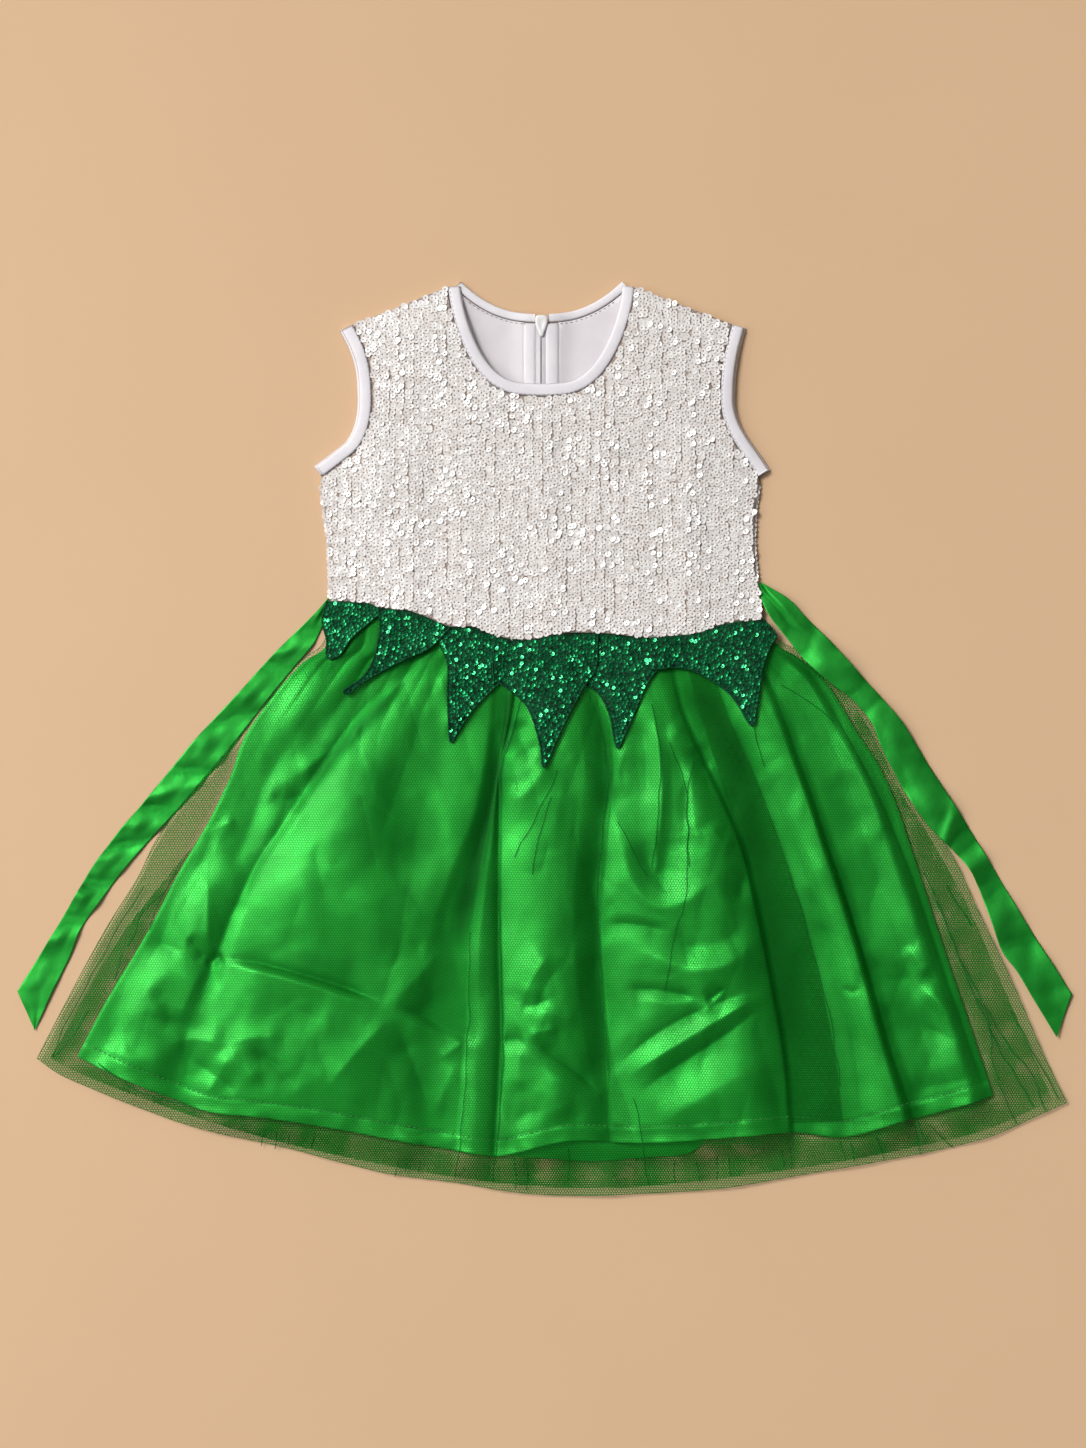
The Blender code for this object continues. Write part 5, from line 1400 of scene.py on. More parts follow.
def add_satin_back(material):
    left = [(x + 1.5, y) for x, y in SATIN_LEFT[:-1]]
    right = [(x - 1.5, y) for x, y in SATIN_RIGHT]
    waist = np.array(BACK_WAIST)
    hem = curved(BACK_SATIN_HEM)
    edges = (waist, curved([waist[0], *left, BACK_SATIN_HEM[0]]), hem,
             curved([waist[1], *right[::-1], BACK_SATIN_HEM[-1]]))
    x, y = fan_grid(edges, BACK_SATIN_COLUMNS, BACK_SATIN_ROWS)
    gap = hem_gap(x, y, hem)
    z = 2.0 + np.clip(waves(x, y, 60.0, 0.12, 11), -0.3, 0.25)
    z = z + 0.25 * smooth((HEM_DEPTH - gap) / 2.0) - 0.2 * np.exp(-((gap - HEM_DEPTH) / 1.2) ** 2)
    points = np.column_stack([x.ravel(), y.ravel(), z.ravel()])
    obj = make_piece("skirt_back_satin", points, grid_faces(*x.shape), material,
                     "green_satin", ["skirt_back"])
    # The back satin is a little darker all over, by way of the painted shade's attribute.
    store(obj, "painted_shade", np.full(x.size, 0.15))
    declare(around(edges))


def net_sheet(name, x, y, z, material, node):
    points = np.column_stack([x.ravel(), y.ravel(), z.ravel()])
    return make_piece(name, points, grid_faces(*x.shape), material, "green_net", [node])


def add_nets(front_material, back_material, dense_material, fold_material):
    x, y = fan_grid(NET_EDGES, NET_COLUMNS, NET_ROWS)
    front = net_sheet("net_front", x, y, tulle_z(x, y), front_material, "tulle_front")
    store(front, "gathered", smooth(-edge_distance(x, y, SATIN_OUTLINE) / 4.0))

    waist = np.array(BACK_WAIST)
    back_edges = (
        waist, curved([waist[0], *BACK_TULLE_LEFT]), curved([BACK_TULLE_LEFT[-1], *BACK_TULLE_HEM]),
        curved([waist[1], *BACK_TULLE_RIGHT[::-1], BACK_TULLE_HEM[-1]]),
    )
    x, y = fan_grid(back_edges, BACK_NET_COLUMNS, BACK_NET_ROWS)
    z = 0.5 + np.clip(waves(x, y, 40.0, 0.2, 12), -0.35, 0.4)
    back = net_sheet("net_back", x, y, z, back_material, "tulle_back")
    hem_y = line_x(SATIN_EDGES[2][:, ::-1], x)
    below = smooth((hem_y - y + 2.0) / 5.0) * smooth((300.0 - np.abs(x)) / 30.0)
    store(back, "gathered", below * bunch_share(x))

    strips = net_strips()
    points, faces = joined(strips[:LIGHT_STRIPS])
    light = make_piece("net_loose_strips", points, faces, front_material, "green_net")
    points, faces = joined(strips[LIGHT_STRIPS:])
    dense = make_piece("net_doubled_strips", points, faces, dense_material, "green_net")
    points, faces = joined(net_lines())
    lines = make_piece("net_crease_lines", points, faces, fold_material, "green_net")

    declare(around(NET_EDGES))
    declare(around(back_edges))


def net_strips():
    """The doubled strips, each a grid between its left and right edge."""
    parts = []
    share = np.linspace(0, 1, STRIP_COLUMNS)[None, :, None]
    for left_edge, right_edge in NET_STRIPS:
        left = even_points(drawn(left_edge), STRIP_ROWS)
        right = even_points(drawn(right_edge), STRIP_ROWS)
        strip = left[:, None] * (1 - share) + right[:, None] * share
        height = tulle_z(strip[..., 0], strip[..., 1]) + NET_STRIP_LIFT
        points = np.column_stack([strip.reshape(-1, 2), height.ravel()])
        parts.append((points, grid_faces(STRIP_ROWS, STRIP_COLUMNS)))
    return parts


def net_lines():
    """The net's standing creases and its rolled edges."""
    parts = []
    for lines, half in ((NET_LINES_ON_SATIN, 0.3), (NET_LINES_BESIDE, 0.5),
                        (NET_LINES_AT_HEM, 0.4)):
        for line in lines:
            path = even_points(drawn(line), 60)
            wander = [waves(path[:, 0], path[:, 1], 26.0, 0.35, seed) for seed in (13, 14)]
            parts.append(ribbon(path + np.column_stack(wander), half, 0.4))
    _, left, hem, right = NET_EDGES
    for edge in (left, right, hem):
        parts.append(ribbon(even_points(edge, 240), 0.25, 0.05))
    return parts


def bunch_share(x):
    """How closely the net's back is bunched at these places across it."""
    total = np.full(x.shape, BUNCH_LEAST)
    for start, stop, share in HEM_BUNCHES:
        inside = (smooth((x - at(start, 0)[0] + BUNCH_EDGE) / (2 * BUNCH_EDGE))
                  * smooth((at(stop, 0)[0] - x + BUNCH_EDGE) / (2 * BUNCH_EDGE)))
        total = np.maximum(total, BUNCH_LEAST + (1.0 - BUNCH_LEAST) * share * inside)
    return total


def ribbon(path, half, lift):
    """A narrow doubled crease of the net, a little above it."""
    sides = (offset_line(path, half), path, offset_line(path, -half))
    strip = np.stack(sides, axis=1)
    height = tulle_z(strip[..., 0], strip[..., 1]) + np.array([0.1, lift, 0.1])[None, :] + 0.15
    points = np.column_stack([strip.reshape(-1, 2), height.ravel()])
    return points, grid_faces(len(path), 3)[:, ::-1]


def add_hem_stitches(material):
    hem = SATIN_EDGES[2]
    line = offset_line(even_points(hem, 500), HEM_DEPTH)[6:-6]
    points, faces = stitches(line, HEM_THREAD, lambda x, y: satin_z(x, y) + 0.05)
    make_piece("hem_stitches", points, faces, material, "green_satin")


# The peplum.
def waist_y(x):
    """The waist seam's y at the places x."""
    waist = np.array(WAIST_POINTS)
    return np.interp(x, waist[:, 0], waist[:, 1])


def leaf_outline(leaf):
    """A leaf's free edge, and its outline closed along the waist."""
    left = (leaf.root_left, float(waist_y(leaf.root_left)) - SEAM_GAP)
    right = (leaf.root_right, float(waist_y(leaf.root_right)) - SEAM_GAP)
    edge = curved([left, *leaf.edge, right], 6)
    along = np.array([(x, waist_y(x) - SEAM_GAP)
                      for x in np.linspace(leaf.root_right, leaf.root_left, 24)[1:-1]])
    return edge, np.vstack([edge, along])


def leaf_z(x, y, index):
    """A leaf lies on the net, and every second one also on the leaves beside it."""
    over = tulle_z(x, y) + 1.6 + 1.5 * (index % 2)
    return over + waves(x, y, 30.0, 0.3, 20 + index)


def add_leaves(knit, edge_material, sequins):
    draw = np.random.default_rng(SEED + 40)
    places = []
    edge_parts = []
    for index, leaf in enumerate(LEAVES):
        edge, outline = leaf_outline(leaf)
        obj = filled_piece(f"{leaf.name}_cloth", outline, 2.2, 50 + index,
                           lambda x, y: leaf_z(x, y, index), LEAF_WALL, knit, "green_sequin",
                           leaf.name)
        declare(outline)
        path = even_points(edge, int(line_length(edge) / 0.9))
        height = leaf_z(path[:, 0], path[:, 1], index) - 0.1
        edge_parts.append(rod_along(np.column_stack([path, height]), 0.6, 6))
        spots = leaf_sequins(outline, edge, draw)
        places.append(np.column_stack([spots, leaf_z(spots[:, 0], spots[:, 1], index) + 0.25]))
    make_piece("peplum_rolled_edges", *joined(edge_parts), edge_material, "green_sequin")
    places = np.vstack(places)
    tones = draw.uniform(0.04, 0.34, len(places))
    glint = draw.random(len(places)) < 0.045
    # Painted highlight: glinting sequins take tones near the bright colour, besides their lean.
    tones[glint] = draw.uniform(0.7, 1.0, glint.sum())
    tilt = np.where(glint, SEQUIN_TILT, LEAF_SEQUIN_TILT)
    add_sequins("peplum_sequins", places, LEAF_SEQUIN, tones, tilt, sequins, "green_sequin", draw,
                np.outer(glint, GLINT_LEAN))


def leaf_sequins(outline, edge, draw):
    """Sequins in rows that follow a leaf's free edge."""
    low, high = outline.min(axis=0), outline.max(axis=0)
    tries = draw.uniform(low, high, (9000, 2))
    inside = edge_distance(tries[:, 0], tries[:, 1], outline)
    tries, inside = tries[inside > 1.2], inside[inside > 1.2]
    from_edge, _ = beside_line(tries[:, 0], tries[:, 1], edge, 60.0)
    from_edge = np.abs(from_edge)
    row = np.round((from_edge - LEAF_ROW_START) / LEAF_ROW_GAP) * LEAF_ROW_GAP + LEAF_ROW_START
    kept = np.abs(row - from_edge) < 0.35
    return spaced(tries[kept], LEAF_SEQUIN_GAP)


def spaced(points, gap):
    """Only the points that keep this distance from those before them."""
    kept = {}
    result = []
    for point in points:
        cell = (int(point[0] // gap), int(point[1] // gap))
        near = [other for i in (-1, 0, 1) for j in (-1, 0, 1)
                for other in kept.get((cell[0] + i, cell[1] + j), ())]
        if all((point[0] - o[0]) ** 2 + (point[1] - o[1]) ** 2 > gap * gap for o in near):
            kept.setdefault(cell, []).append(point)
            result.append(point)
    return np.array(result)


def add_sequins(name, places, form, tones, tilt, material, slot, draw, leaning=None):
    """Cupped round sequins with a hole, each turned and tilted its own way, as one mesh.

    tilt is how far they tilt at random, in degrees, and leaning is added to that in x and y.
    """
    count, sides = len(places), form.sides
    angle = np.arange(sides) * 2 * math.pi / sides
    circle = np.column_stack([np.cos(angle), np.sin(angle)])
    ring = np.vstack([
        np.column_stack([circle * form.hole, np.full(sides, -SEQUIN_DISH)]),
        np.column_stack([circle * form.radius, np.zeros(sides)]),
    ])
    lean = np.radians(tilt) * draw.standard_normal((2, count)) * 0.6
    normal = np.column_stack([lean[0], lean[1], np.ones(count)])
    if leaning is not None:
        normal[:, :2] += leaning
    normal /= np.linalg.norm(normal, axis=1)[:, None]
    turn = draw.uniform(0, 2 * math.pi, count)
    spin = np.column_stack([np.cos(turn), np.sin(turn), np.zeros(count)])
    first = spin - normal * np.sum(spin * normal, axis=1)[:, None]
    first /= np.linalg.norm(first, axis=1)[:, None]
    second = np.cross(normal, first)
    size = draw.uniform(0.94, 1.06, count)[:, None, None]
    points = (places[:, None]
              + size * (ring[None, :, :1] * first[:, None] + ring[None, :, 1:2] * second[:, None]
                        + ring[None, :, 2:] * normal[:, None]))
    i = np.arange(sides)
    j = (i + 1) % sides
    one = np.stack([i, i + sides, j + sides, j], axis=-1)
    faces = (one[None] + (np.arange(count) * 2 * sides)[:, None, None]).reshape(-1, 4)
    obj = make_piece(name, points.reshape(-1, 3), faces, material, slot)
    store(obj, "tone", np.repeat(tones, 2 * sides))
    return obj


# The bodice.
def front_spots(outline, draw):
    """Where the front's sequins hang: in columns that wander a little."""
    low, high = outline.min(axis=0), outline.max(axis=0)
    spots = []
    for x in np.arange(low[0], high[0], SEQUIN_COLUMN_GAP):
        start = draw.uniform(0, SEQUIN_PITCH)
        y = np.arange(low[1] + start, high[1], SEQUIN_PITCH)
        wander = 0.5 * np.sin(y / 21.0 + draw.uniform(0, 6.3))
        spots.append(np.column_stack([x + wander, y]))
    spots = np.vstack(spots)
    spots = spots + draw.normal(0, SEQUIN_STRAY, spots.shape)
    return spots[edge_distance(spots[:, 0], spots[:, 1], outline) > 0.4]


def add_front_sequins(outline, sequins, draw):
    """The front's sequins. Some, more in places, lean to catch the key light, and these also get a
    near-white tone as a painted highlight.
    """
    spots = front_spots(outline, draw)
    x, y = spots[:, 0], spots[:, 1]
    step = 1.5
    slope_x = (front_relief(x + step, y) - front_relief(x - step, y)) / (2 * step)
    z = front_relief(x, y) + 0.45 + draw.uniform(0.0, 0.25, len(spots))
    tones = np.clip(0.55 + 0.17 * draw.standard_normal(len(spots)), 0.1, 0.85)
    cluster = waves(x * 1.7, y * 0.45, 34.0, 1.0, 62)
    glint = draw.random(len(spots)) < np.clip(0.036 + 0.06 * cluster, 0.006, 0.16)
    # Painted highlight: glinting sequins are near white, besides their lean.
    tones[glint] = draw.uniform(0.88, 1.0, glint.sum())
    z[glint] += 0.25
    leaning = np.column_stack([-0.4 * slope_x, np.full(len(spots), 0.08)])
    return add_sequins("bodice_sequins", np.column_stack([spots, z]), FRONT_SEQUIN, tones,
                       SEQUIN_TILT, sequins, "white_sequin", draw,
                       leaning + np.outer(glint, GLINT_LEAN))


def add_bodice(knit, sequins):
    outline = front_outline()
    front = filled_piece("bodice_front_knit", outline, 3.2, 60, front_relief, FRONT_KNIT_WALL,
                         knit, "white_sequin", "bodice_front")
    draw = np.random.default_rng(SEED + 61)
    top = add_front_sequins(outline, sequins, draw)
    declare(outline)

    places = side_sequins(draw)
    add_sequins("bodice_side_sequins", places, SIDE_SEQUIN, draw.uniform(0.2, 0.9, len(places)),
                SIDE_SEQUIN_TILT, sequins, "white_sequin", draw)

    for side in SIGN:
        panel = back_outline(side, BACK_PANEL_START)
        obj = filled_piece(f"bodice_back_knit_{side}", panel, 6.0, 64,
                           lambda x, y: zip_rise(x) + 0.95, BACK_KNIT_WALL, knit, "white_sequin",
                           f"bodice_back_{side}")
        declare(panel)
    draw = np.random.default_rng(SEED + 63)
    places = back_sequins(draw)
    add_sequins("bodice_back_sequins", places, BACK_SEQUIN, draw.uniform(0.3, 0.9, len(places)),
                BACK_SEQUIN_TILT, sequins, "white_sequin", draw)


def back_sequins(draw):
    """Flat sequins under the back panels, between them and the floor."""
    spots = []
    for side in SIGN:
        panel = back_outline(side, BACK_PANEL_START)
        low, high = panel.min(axis=0), panel.max(axis=0)
        x, y = np.meshgrid(np.arange(low[0], high[0], 3.3), np.arange(low[1], high[1], 3.1))
        near = np.column_stack([x.ravel(), y.ravel()]) + draw.normal(0, 0.4, (x.size, 2))
        spots.append(near[edge_distance(near[:, 0], near[:, 1], panel) > 2.0])
    spots = np.vstack(spots)
    z = zip_rise(spots[:, 0]) + draw.uniform(0.25, 0.32, len(spots))
    return np.column_stack([spots, z])


def side_sequins(draw):
    """A few sequins that wrap over the side seams, for the views from the side."""
    places = []
    for side, sign in SIGN.items():
        for height in (1.2, 2.6):
            y = np.arange(92.0, 164.0, 3.0) + draw.uniform(-0.6, 0.6)
            x = side_x(y, side) + sign * (0.3 if height < 2 else 0.0)
            places.append(np.column_stack([x, y, np.full(len(y), height)]))
    return np.vstack(places)


def back_outline(side, start, inset=0.0):
    """Half of the back, from this far beside the zip, and smaller at its other edges by inset."""
    sign = SIGN[side]
    offsets = np.linspace(start, SHOULDER_NECK_OFFSET - 1.0, 22)
    neck_x = CENTRE_X + sign * offsets
    neck = np.column_stack([neck_x, back_neck_y(neck_x)])
    down = np.vstack([armhole_line(side, BACK_PEEK - inset), side_line(side, 0.5 - inset)])
    corner = [(side_x(BACK_WAIST_Y, side) - sign * inset, BACK_WAIST_Y)]
    waist = np.column_stack([neck_x[::-1], np.full(len(neck_x), BACK_WAIST_Y)])
    return np.vstack([neck, down, corner, waist])


def lining_z(x, y):
    """The back lining, with a few soft folds that run down from the neck."""
    soft = 0.35 * np.sin((x + 0.25 * y) / 9.0) * smooth((np.abs(x - CENTRE_X) - 14.0) / 12.0)
    return zip_rise(x) + 2.25 + 0.5 * np.clip(soft, -0.25, 0.4)


def add_lining(material, seam_material):
    for side, sign in SIGN.items():
        outline = back_outline(side, LINING_START, 1.0)
        obj = filled_piece(f"back_lining_{side}", outline, 3.0, 70, lining_z, LINING_WALL,
                           material, "white_lining", f"lining_back_{side}")
        declare(outline)
        add_seam_flap(side, sign, seam_material)


def add_seam_flap(side, sign, material):
    """The pressed edge of the lining's seam, which shows beside the zip."""
    y = np.linspace(218.0, 265.0, 40)[:, None]
    share = np.linspace(0, 1, 9)
    near = FLAP_NEAR[side]
    x = CENTRE_X + sign * (near + (FLAP_FAR - near) * share)[None, :] + 0 * y
    top = np.minimum(y + 0 * x, back_neck_y(x) - 0.6)
    z = zip_rise(x) + 2.75 + 0.35 * np.sin(np.pi * share)[None, :] ** 0.5
    ends = np.where((share == 0) | (share == 1), -0.45, 0.0)
    points = np.column_stack([x.ravel(), top.ravel(), (z + ends[None, :]).ravel()])
    faces = grid_faces(*x.shape)
    if sign > 0:
        faces = faces[:, ::-1]
    flap = make_piece(f"zip_seam_flap_{side}", points, faces, material, "white_lining")


def add_binding(name, line, distance, z_of, material, node):
    """A strip of bias cloth beside a line, at its left for a positive distance."""
    start = math.copysign(SEAM_GAP, distance)
    points, faces = tube_band(line, start, distance, z_of, BINDING_WALL, 0.75, 9)
    obj = make_piece(name, points, faces, material, "white_binding", [node])


def add_bindings(material, thread, brown):
    def front(x, y):
        return front_z(x, y) - 0.1

    def on_front(x, y):
        return front_z(x, y) + 0.45

    neck = even_points(curved(neck_line(), 4), 190)
    add_binding("neck_binding", neck, BINDING_WIDTH, front, material, "neck_binding_front")
    threads = [stitches(offset_line(neck, 1.3), BINDING_THREAD, on_front)]
    for side, sign in SIGN.items():
        x = CENTRE_X + sign * np.linspace(BACK_BINDING_START, BACK_BINDING_END, 60)
        line = np.column_stack([x, back_neck_y(x)])
        add_binding(f"neck_binding_back_{side}_cloth", line, sign * BACK_BINDING_WIDTH,
                    lambda x, y: zip_rise(x) + 2.1, material, f"neck_binding_back_{side}")
        arm = even_points(armhole_line(side), 110)
        add_binding(f"armhole_binding_{side}", arm, sign * BINDING_WIDTH, front, material,
                    f"armhole_binding_front_{side}")
        threads.append(stitches(offset_line(arm, sign * 1.3), BINDING_THREAD, on_front))
        under = even_points(armhole_line(side, BACK_PEEK), 110)
        add_binding(f"armhole_binding_back_{side}_cloth", under, sign * BINDING_WIDTH,
                    lambda x, y: 1.7 + 0 * x, material, f"armhole_binding_back_{side}")
    make_piece("binding_stitches", *joined(threads), thread, "white_binding")
    browns = []
    for sign in SIGN.values():
        x = CENTRE_X + sign * np.linspace(12.0, 50.0, 60)
        line = np.column_stack([x, back_neck_y(x) - 1.0])
        browns.append(stitches(line, NECK_SEAM_THREAD, lambda x, y: lining_z(x, y) + 0.15))
    make_piece("neck_seam_stitches", *joined(browns), brown, "white_lining")


def add_tape(side, sign, material):
    share = np.linspace(0, 1, 16)
    y = np.linspace(BACK_WAIST_Y + 1.0, 266.0, 90)[:, None]
    x = CENTRE_X + sign * (0.5 + 10.0 * share ** 1.2)[None, :] + 0 * y
    y = np.minimum(y + 0 * x, back_neck_y(x) - SEAM_GAP)
    over_coil = 0.75 * np.exp(-((np.abs(x - CENTRE_X) - 0.5) / 2.2) ** 2)
    z = zip_rise(x) + 2.2 + over_coil * smooth((260.0 - y) / 6.0)
    flat = np.column_stack([x.ravel(), y.ravel()])
    faces = grid_faces(*x.shape)
    if sign > 0:
        faces = faces[:, ::-1]
    faces = np.vstack([faces[:, [0, 1, 2]], faces[:, [0, 2, 3]]])
    points, all_faces = shell(flat, faces[:, ::-1], z.ravel(), TAPE_WALL)
    obj = make_piece(f"zip_tape_{side}_cloth", points, all_faces, material, "zip_tape",
                     [f"zip_tape_{side}"])


def coil_parts():
    """The coil: a half loop for each tooth, and the cord inside them."""
    parts = []
    t = np.linspace(0, math.pi, 5)
    for y in np.arange(82.0, 262.5, 0.9):
        for sign in SIGN.values():
            line = np.column_stack([
                CENTRE_X + sign * (0.15 + 1.35 * np.sin(t * 0.5)),
                np.full(len(t), y + sign * 0.22),
                3.95 + 0.55 * np.sin(t),
            ])
            parts.append(rod_along(line, 0.24, 5))
    core = np.array([(CENTRE_X, 81.5, 3.9), (CENTRE_X, 263.0, 3.9)])
    parts.append(rod_along(core, 0.5, 8))
    return parts


def add_zip(tape, coil, enamel):
    for side, sign in SIGN.items():
        add_tape(side, sign, tape)
    make_piece("zip_coil_teeth", *joined(coil_parts()), coil, "zip_nylon", ["zip_coil"])
    make_piece("zip_slider_body", *joined(slider_parts()), enamel, "zip_metal", ["zip_slider"])
    make_piece("zip_pull", *joined(pull_parts()), enamel, "zip_metal", ["zip_pull_tab"],
               body="zip_pull")


def shield(half, tail, length):
    """The slider's outline: round at the top, and drawn in to a narrow end."""
    right = [(0.0, 0.0), (0.35 * half, 0.0), (0.85 * half, -0.6), (half, -2.2), (0.96 * half, -5.0),
             (0.75 * half, -8.0), (tail, -11.0), (0.7 * tail, -13.2), (0.0, -length)]
    left = [(-x, y) for x, y in right[-2:0:-1]]
    return np.array(right + left)


def slider_parts():
    """The slider: its body, the loop that holds the pull tab, and the loop's post."""
    outline = shield(4.1, 1.8, 14.0)[::-1]
    middle = np.array([0.0, -5.4])
    rings = []
    for share, z in ((0.9, 5.0), (1.0, 5.3), (1.0, 6.2), (0.9, 6.6), (0.72, 6.8), (0.5, 6.72),
                     (0.3, 6.5), (0.1, 6.42)):
        ring = middle + (outline - middle) * share
        rings.append(np.column_stack([ring[:, 0] + CENTRE_X, ring[:, 1] + SLIDER_TOP_Y,
                                      np.full(len(ring), z)]))
    _, axis_y, axis_z = PULL_AXIS
    t = np.linspace(0, 2 * math.pi, 25)
    path = np.column_stack([np.full(len(t), CENTRE_X), axis_y + 1.25 * np.cos(t),
                            axis_z + LOOP_HEIGHT * np.sin(t)])
    post = straight_rod((CENTRE_X, axis_y, axis_z + LOOP_HEIGHT), (CENTRE_X, axis_y, 5.2),
                        (1.0, 0.0, 0.0), (0.0, 1.0, 0.0), PULL_HALF_WALL)
    return [loft(rings), ring_rod(path, 0.22), post]


def pull_parts():
    """The pull tab: a plate with an eye that widens to its end, a crossbar and a spine."""
    x0, y0, z0 = PULL_AXIS
    half = 3.2
    outer = ((2.0, 0.45), (2.0, -3.0), (0.7 * half, -8.0), (half, -15.0), (0.96 * half, -19.0),
             (0.7 * half, -22.0), (0.3 * half, -23.6), (0, -24.0))
    inner = ((1.2, -0.45), (1.2, -2.9), (0.2, -4.4), (0.2, -12.0), (0.2, -17.0), (0.2, -20.0),
             (0.1, -21.6), (0, -22.0))
    parts = []
    for sign in SIGN.values():
        rings = []
        for out, near in zip(outer, inner):
            ring = [(*near, -PULL_HALF_WALL), (*out, -PULL_HALF_WALL), (*out, PULL_HALF_WALL),
                    (*near, PULL_HALF_WALL)]
            rings.append([(x0 + sign * x, y0 + y, z0 + z) for x, y, z in ring])
        points, faces = loft(rings)
        if sign < 0:
            faces = [face[::-1] for face in faces]
        parts.append((points, faces))
    parts.append(straight_rod((x0 - 2.0, y0, z0), (x0 + 2.0, y0, z0), (0.0, 1.0, 0.0),
                              (0.0, 0.0, 1.0), PULL_HALF_WALL))
    spine = np.array([(-0.3, -4.0), (0.3, -4.0), (0.3, -22.5), (-0.3, -22.5)])
    parts.append(loft([np.column_stack([spine[:, 0] + x0, spine[:, 1] + y0, np.full(4, z0 + z)])
                       for z in (0.40, -0.40)]))
    return parts


# The sash ends.
def sash_grid(rows, tip):
    """A grid down a sash end, whose last rows shrink to its tip."""
    rows, tip = np.array(rows), np.array(tip)
    outer = even_points(curved(rows[:, [1, 0]]), SASH_ROWS)
    inner = even_points(curved(rows[:, [2, 0]]), SASH_ROWS)
    share = np.linspace(0, 1, SASH_COLUMNS)[None, :, None]
    body = outer[:, None] * (1 - share) + inner[:, None] * share
    end_rows = 12
    tail = []
    for i in range(1, end_rows + 1):
        t = i / end_rows
        start = outer[-1] + (tip - outer[-1]) * t
        stop = inner[-1] + (tip - inner[-1]) * t
        tail.append(start * (1 - share[0]) + stop * share[0])
    grid = np.concatenate([body, np.array(tail)])
    return grid[..., 0], grid[..., 1]


def add_sash(side, rows, tip, z_of, material):
    x, y = sash_grid(rows, tip)
    share = np.linspace(1, 0, SASH_COLUMNS)[None, :] + 0 * x
    z = z_of(x, y, share)
    faces = grid_faces(*x.shape)
    if SIGN[side] > 0:
        faces = faces[:, ::-1]
    triangles = np.vstack([faces[:, [0, 1, 2]], faces[:, [0, 2, 3]]])
    flat = np.column_stack([x.ravel(), y.ravel()])
    points, all_faces = shell(flat, triangles, z.ravel(), SASH_WALL)
    obj = make_piece(f"sash_{side}_satin", points, all_faces, material, "green_satin",
                     [f"sash_{side}"])
    # Painted shade in the sash's hollows, on top of a darker tone all over it.
    painted_shade = 0.2 + 0.6 * painted_hollow_shade(z, reach=5, depth=1.2).ravel()
    store(obj, "painted_shade", np.concatenate([painted_shade, painted_shade]))


Pucker = namedtuple("Pucker", "y slant height reach")
LEFT_PUCKERS = (
    Pucker(80, 0.3, 1.8, 5.0), Pucker(67, 0.1, -1.8, 5.5), Pucker(57, -0.2, 1.4, 4.5),
    Pucker(45, 0.3, -1.9, 6.0), Pucker(28, 0.1, 2.0, 6.0), Pucker(12, -0.2, -1.9, 6.0),
    Pucker(-7, 0.4, 2.1, 6.0), Pucker(-21, 0.1, -1.9, 5.0), Pucker(-33, -0.3, 2.0, 5.0),
    Pucker(-45, 0.3, -2.0, 5.0), Pucker(-55, 0.0, 2.0, 4.5), Pucker(-67, -0.2, -1.9, 5.0),
    Pucker(-79, 0.3, 1.9, 5.0), Pucker(-91, 0.0, -2.0, 5.0), Pucker(-102, 0.4, 2.4, 4.5),
    Pucker(-115, 0.1, -2.0, 5.0), Pucker(-127, -0.2, 1.8, 5.0), Pucker(-142, 0.2, -1.4, 6.0),
    Pucker(-160, 0.1, 1.0, 8.0),
)
RIGHT_PUCKERS = (
    Pucker(66, -0.7, -2.2, 8.0), Pucker(48, -0.2, 3.0, 8.0), Pucker(27, -0.4, -3.0, 7.0),
    Pucker(6, -0.5, 1.4, 12.0), Pucker(-22, -0.4, -1.2, 9.0), Pucker(-42, -0.2, 1.8, 8.0),
    Pucker(-56, -0.9, 2.0, 3.5), Pucker(-66, -0.4, -2.8, 5.0), Pucker(-79, -0.5, 2.4, 5.0),
    Pucker(-95, -0.3, -2.0, 7.0), Pucker(-112, -0.6, 1.8, 8.0), Pucker(-130, -0.3, -1.4, 8.0),
    Pucker(-148, -0.5, 1.0, 8.0),
)
# The fold along the top of the right sash: where it is, how far it reaches, how deep it is. Beside
# the net's edge the sash comes down to the floor over SASH_LEAN.
SASH_FOLD_Y = 84.0
SASH_FOLD_REACH = 15.0
SASH_FOLD_DEPTH = 2.6
SASH_LEAN = 22.0


def pucker_lift(x, y, rows, puckers):
    """Diagonal folds across a sash end, at places down its middle."""
    rows = np.array(rows)[::-1]
    middle = np.interp(y, rows[:, 0], 0.5 * (rows[:, 1] + rows[:, 2]))
    total = np.zeros(x.shape)
    for pucker in puckers:
        along = y - pucker.y + pucker.slant * (x - middle)
        total += pucker.height * np.exp(-(along / pucker.reach) ** 2)
    return total


def left_sash_z(x, y, share):
    """Outer cloth stands proud, and what lies under the net's edge stays low."""
    clear = 0.55 + 0.45 * smooth((share - 0.3) / 0.4)
    lift = pucker_lift(x, y, LEFT_SASH_ROWS, LEFT_PUCKERS) + waves(x, y, 18.0, 0.25, 30)
    return 0.9 + np.clip(1.5 + lift, 0.05, 4.2) * clear * 0.85


def evened_highest(values, reach):
    """The highest value within this many rows on either side, evened out over as many."""
    count = len(values)
    padded = np.pad(values, reach, mode="edge")
    highest = np.max([padded[i:i + count] for i in range(2 * reach + 1)], axis=0)
    padded = np.pad(highest, reach, mode="edge")
    return np.mean([padded[i:i + count] for i in range(2 * reach + 1)], axis=0)


